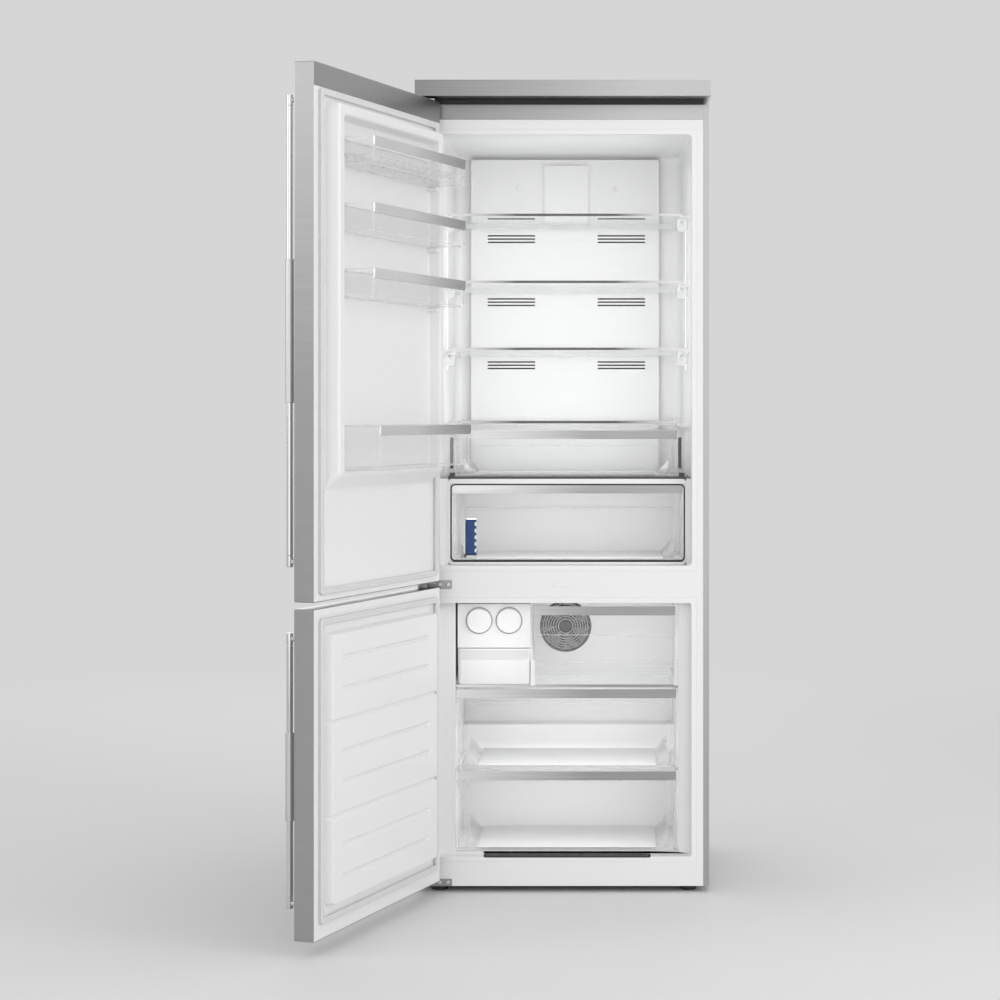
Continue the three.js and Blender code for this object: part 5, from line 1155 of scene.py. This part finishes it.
# A grey magnetic gasket of folded rubber runs round each door's liner.
rubber = Finish("gasket_rubber", (0.70, 0.70, 0.70), 0.55, wander=(20, 0.03))
rubber.bump(rubber.noise(800), 0.1, 0.0003)
GASKET_CORNER = 9
GASKET_SECTION = ((1, 0), (3.6, 2.4), (1.6, 4.6), (0, 6), (0.4, 8.4), (1.4, 9.1), (6.2, 9.1),
                  (7, 8.5), (7.8, 9.1), (12.6, 9.1), (13.6, 8.4), (14, 6), (12.4, 4.6), (10.4, 2.4),
                  (13, 0))
for name in ("upper_door", "lower_door"):
    loop = span_of(f"{name}_gasket")
    seal = stack(from_front, lambda inset: upright(loop, inset, max(GASKET_CORNER - inset, 1)),
                 [(inset, loop.y0 + height) for inset, height in GASKET_SECTION], closed=True)
    assemble(f"{name}_seal", [seal], rubber, "gasket_rubber", f"{name}_gasket", body=name, sharp=60)

# Each handle is a polished steel bar with bright caps, on two posts, and a satin grip round
# its middle stretch.
polished = Finish("polished_steel", (0.66, 0.665, 0.67), 0.16, 1.0)
polished.tint(polished.noise(1.0, 3.0, (300, 300, 4)), 0.04)
polished.drive("Roughness", polished.noise(50) * 0.08 + 0.12)
satin = brushed("satin_steel", (0.60, 0.605, 0.61), 0.4, (500, 500, 8))
POST_INSET = 12


def both_ends(box, end):
    """A profile of radius and height for both ends of a bar, from one for its lower end."""
    return ([(radius, box.z0 + z) for radius, z in end]
            + [(radius, box.z1 - z) for radius, z in reversed(end)])


for name in ("upper_door", "lower_door"):
    bar = span_of(f"{name}_handle")
    face = span_of(f"{name}_skin").y0
    r = (bar.x1 - bar.x0) / 2
    x, y = bar.middle[0], bar.y0 + r
    cap = [(r - 3, 0), (r - 1, 0.5), (r, 2), (r, 24), (r - 0.8, 24.6), (r - 0.8, 26), (r - 0.3, 26.6)]
    post = [(5.8, y), (5.8, face - 4), (8.6, face - 3.4), (9, face - 2.6), (9, face - 0.05)]
    shapes = [turned(from_above, x, y, both_ends(bar, cap), 40)]
    shapes += [turned(from_front, x, z, post) for z in (bar.z0 + POST_INSET, bar.z1 - POST_INSET)]
    assemble(f"{name}_bar", shapes, polished, "handle_metal", f"{name}_handle", body=name)
    grip = span_of(f"{name}_grip")
    grip_radius = (grip.x1 - grip.x0) / 2
    sleeve = both_ends(grip, [(r + 0.1, 0), (grip_radius - 1, 0), (grip_radius, 1.2)])
    assemble(f"{name}_sleeve", [turned(from_above, x, y, sleeve, 40, closed=True)], satin,
             "grip_metal", f"{name}_grip", body=name)

# The door bins are clear moulded trays with a brushed trim along the front. They lift off
# their pegs. Their rims, corners and the edge round the floor are where the moulding is thick.
BIN_TRIM = 21
BIN_WALL = 2.5
BIN_CORNER = 9
# The bins' trim is painted lighter the further it stands out from the cabinet: a painted reflection.
bin_metal = brushed("bin_trim", (0.7, 0.7, 0.705), 0.4,
                    painted_sheen=(1, at(0, -460, 0).y, at(0, -150, 0).y, 0.76, 0.40))
for name, box in bin_spans.items():
    tray = box.shifted(x0=0.4, x1=-0.4, y1=-2.5)
    walls = tub(tray, BIN_WALL, BIN_CORNER, draft=3, ledge=1.5, floor=2.6)
    assemble(f"{name}_tray", [walls], clear, "clear_plastic", name, body=name)
    edges = [block(x, x + 2.2, tray.y1 - 2.6, tray.y1 - 0.4, box.z0 + 3, box.z1 - 3, 0.5)
             for x in (tray.x0 + 0.6, tray.x0 + 7, tray.x1 - 9.2, tray.x1 - 2.8)]
    edges.append(rim(tray, 4, 3, BIN_CORNER))
    edges.append(rim(tray._replace(z1=box.z0 + 3.2).shifted(x0=3.5, x1=-3.5, y0=3.5, y1=-3.5),
                     2, 3, BIN_CORNER))
    assemble(f"{name}_rim", edges, clear_thick, "clear_plastic", body=name)
    strip = block(box.x0 + 2, box.x1 - 2, box.y1 - 3, box.y1, box.z1 - BIN_TRIM, box.z1 - 0.2, 0.8)
    assemble(f"{name}_trim", [strip], bin_metal, "clear_plastic", body=name)

# A clear egg tray with two rows of cups lies in the top bin.
EGG_PITCH = 42
EGG_ROW = 20
EGG_RADIUS = 18
EGG_DEPTH = 13
EGG_LEVEL = 26
EGG_SHEET = 1.4
top_bin = bin_spans["door_bin_top"]
tray = top_bin.shifted(x0=8, x1=-8, y0=7, y1=-9)
cup_count = int((tray.x1 - tray.x0) / EGG_PITCH)
half_pitch = (tray.x1 - tray.x0) / cup_count / 2
cups = [(u, tray.middle[1] + row)
        for u in marks(tray.x0 + half_pitch, tray.x1 - half_pitch, cup_count - 1)
        for row in (-EGG_ROW, EGG_ROW)]


def egg_height(u, v):
    nearest = min(math.hypot(u - cup_u, v - cup_v) for cup_u, cup_v in cups)
    return top_bin.z0 + EGG_LEVEL - EGG_DEPTH * soft_step(EGG_RADIUS - nearest, EGG_RADIUS)


egg_sheet = pressed_sheet(from_above, marks(tray.x0, tray.x1, 110), marks(tray.y0, tray.y1, 18),
                          egg_height, lambda u, v: egg_height(u, v) - EGG_SHEET)
assemble("egg_tray", [egg_sheet], clear_thick, "clear_plastic", body="door_bin_top")
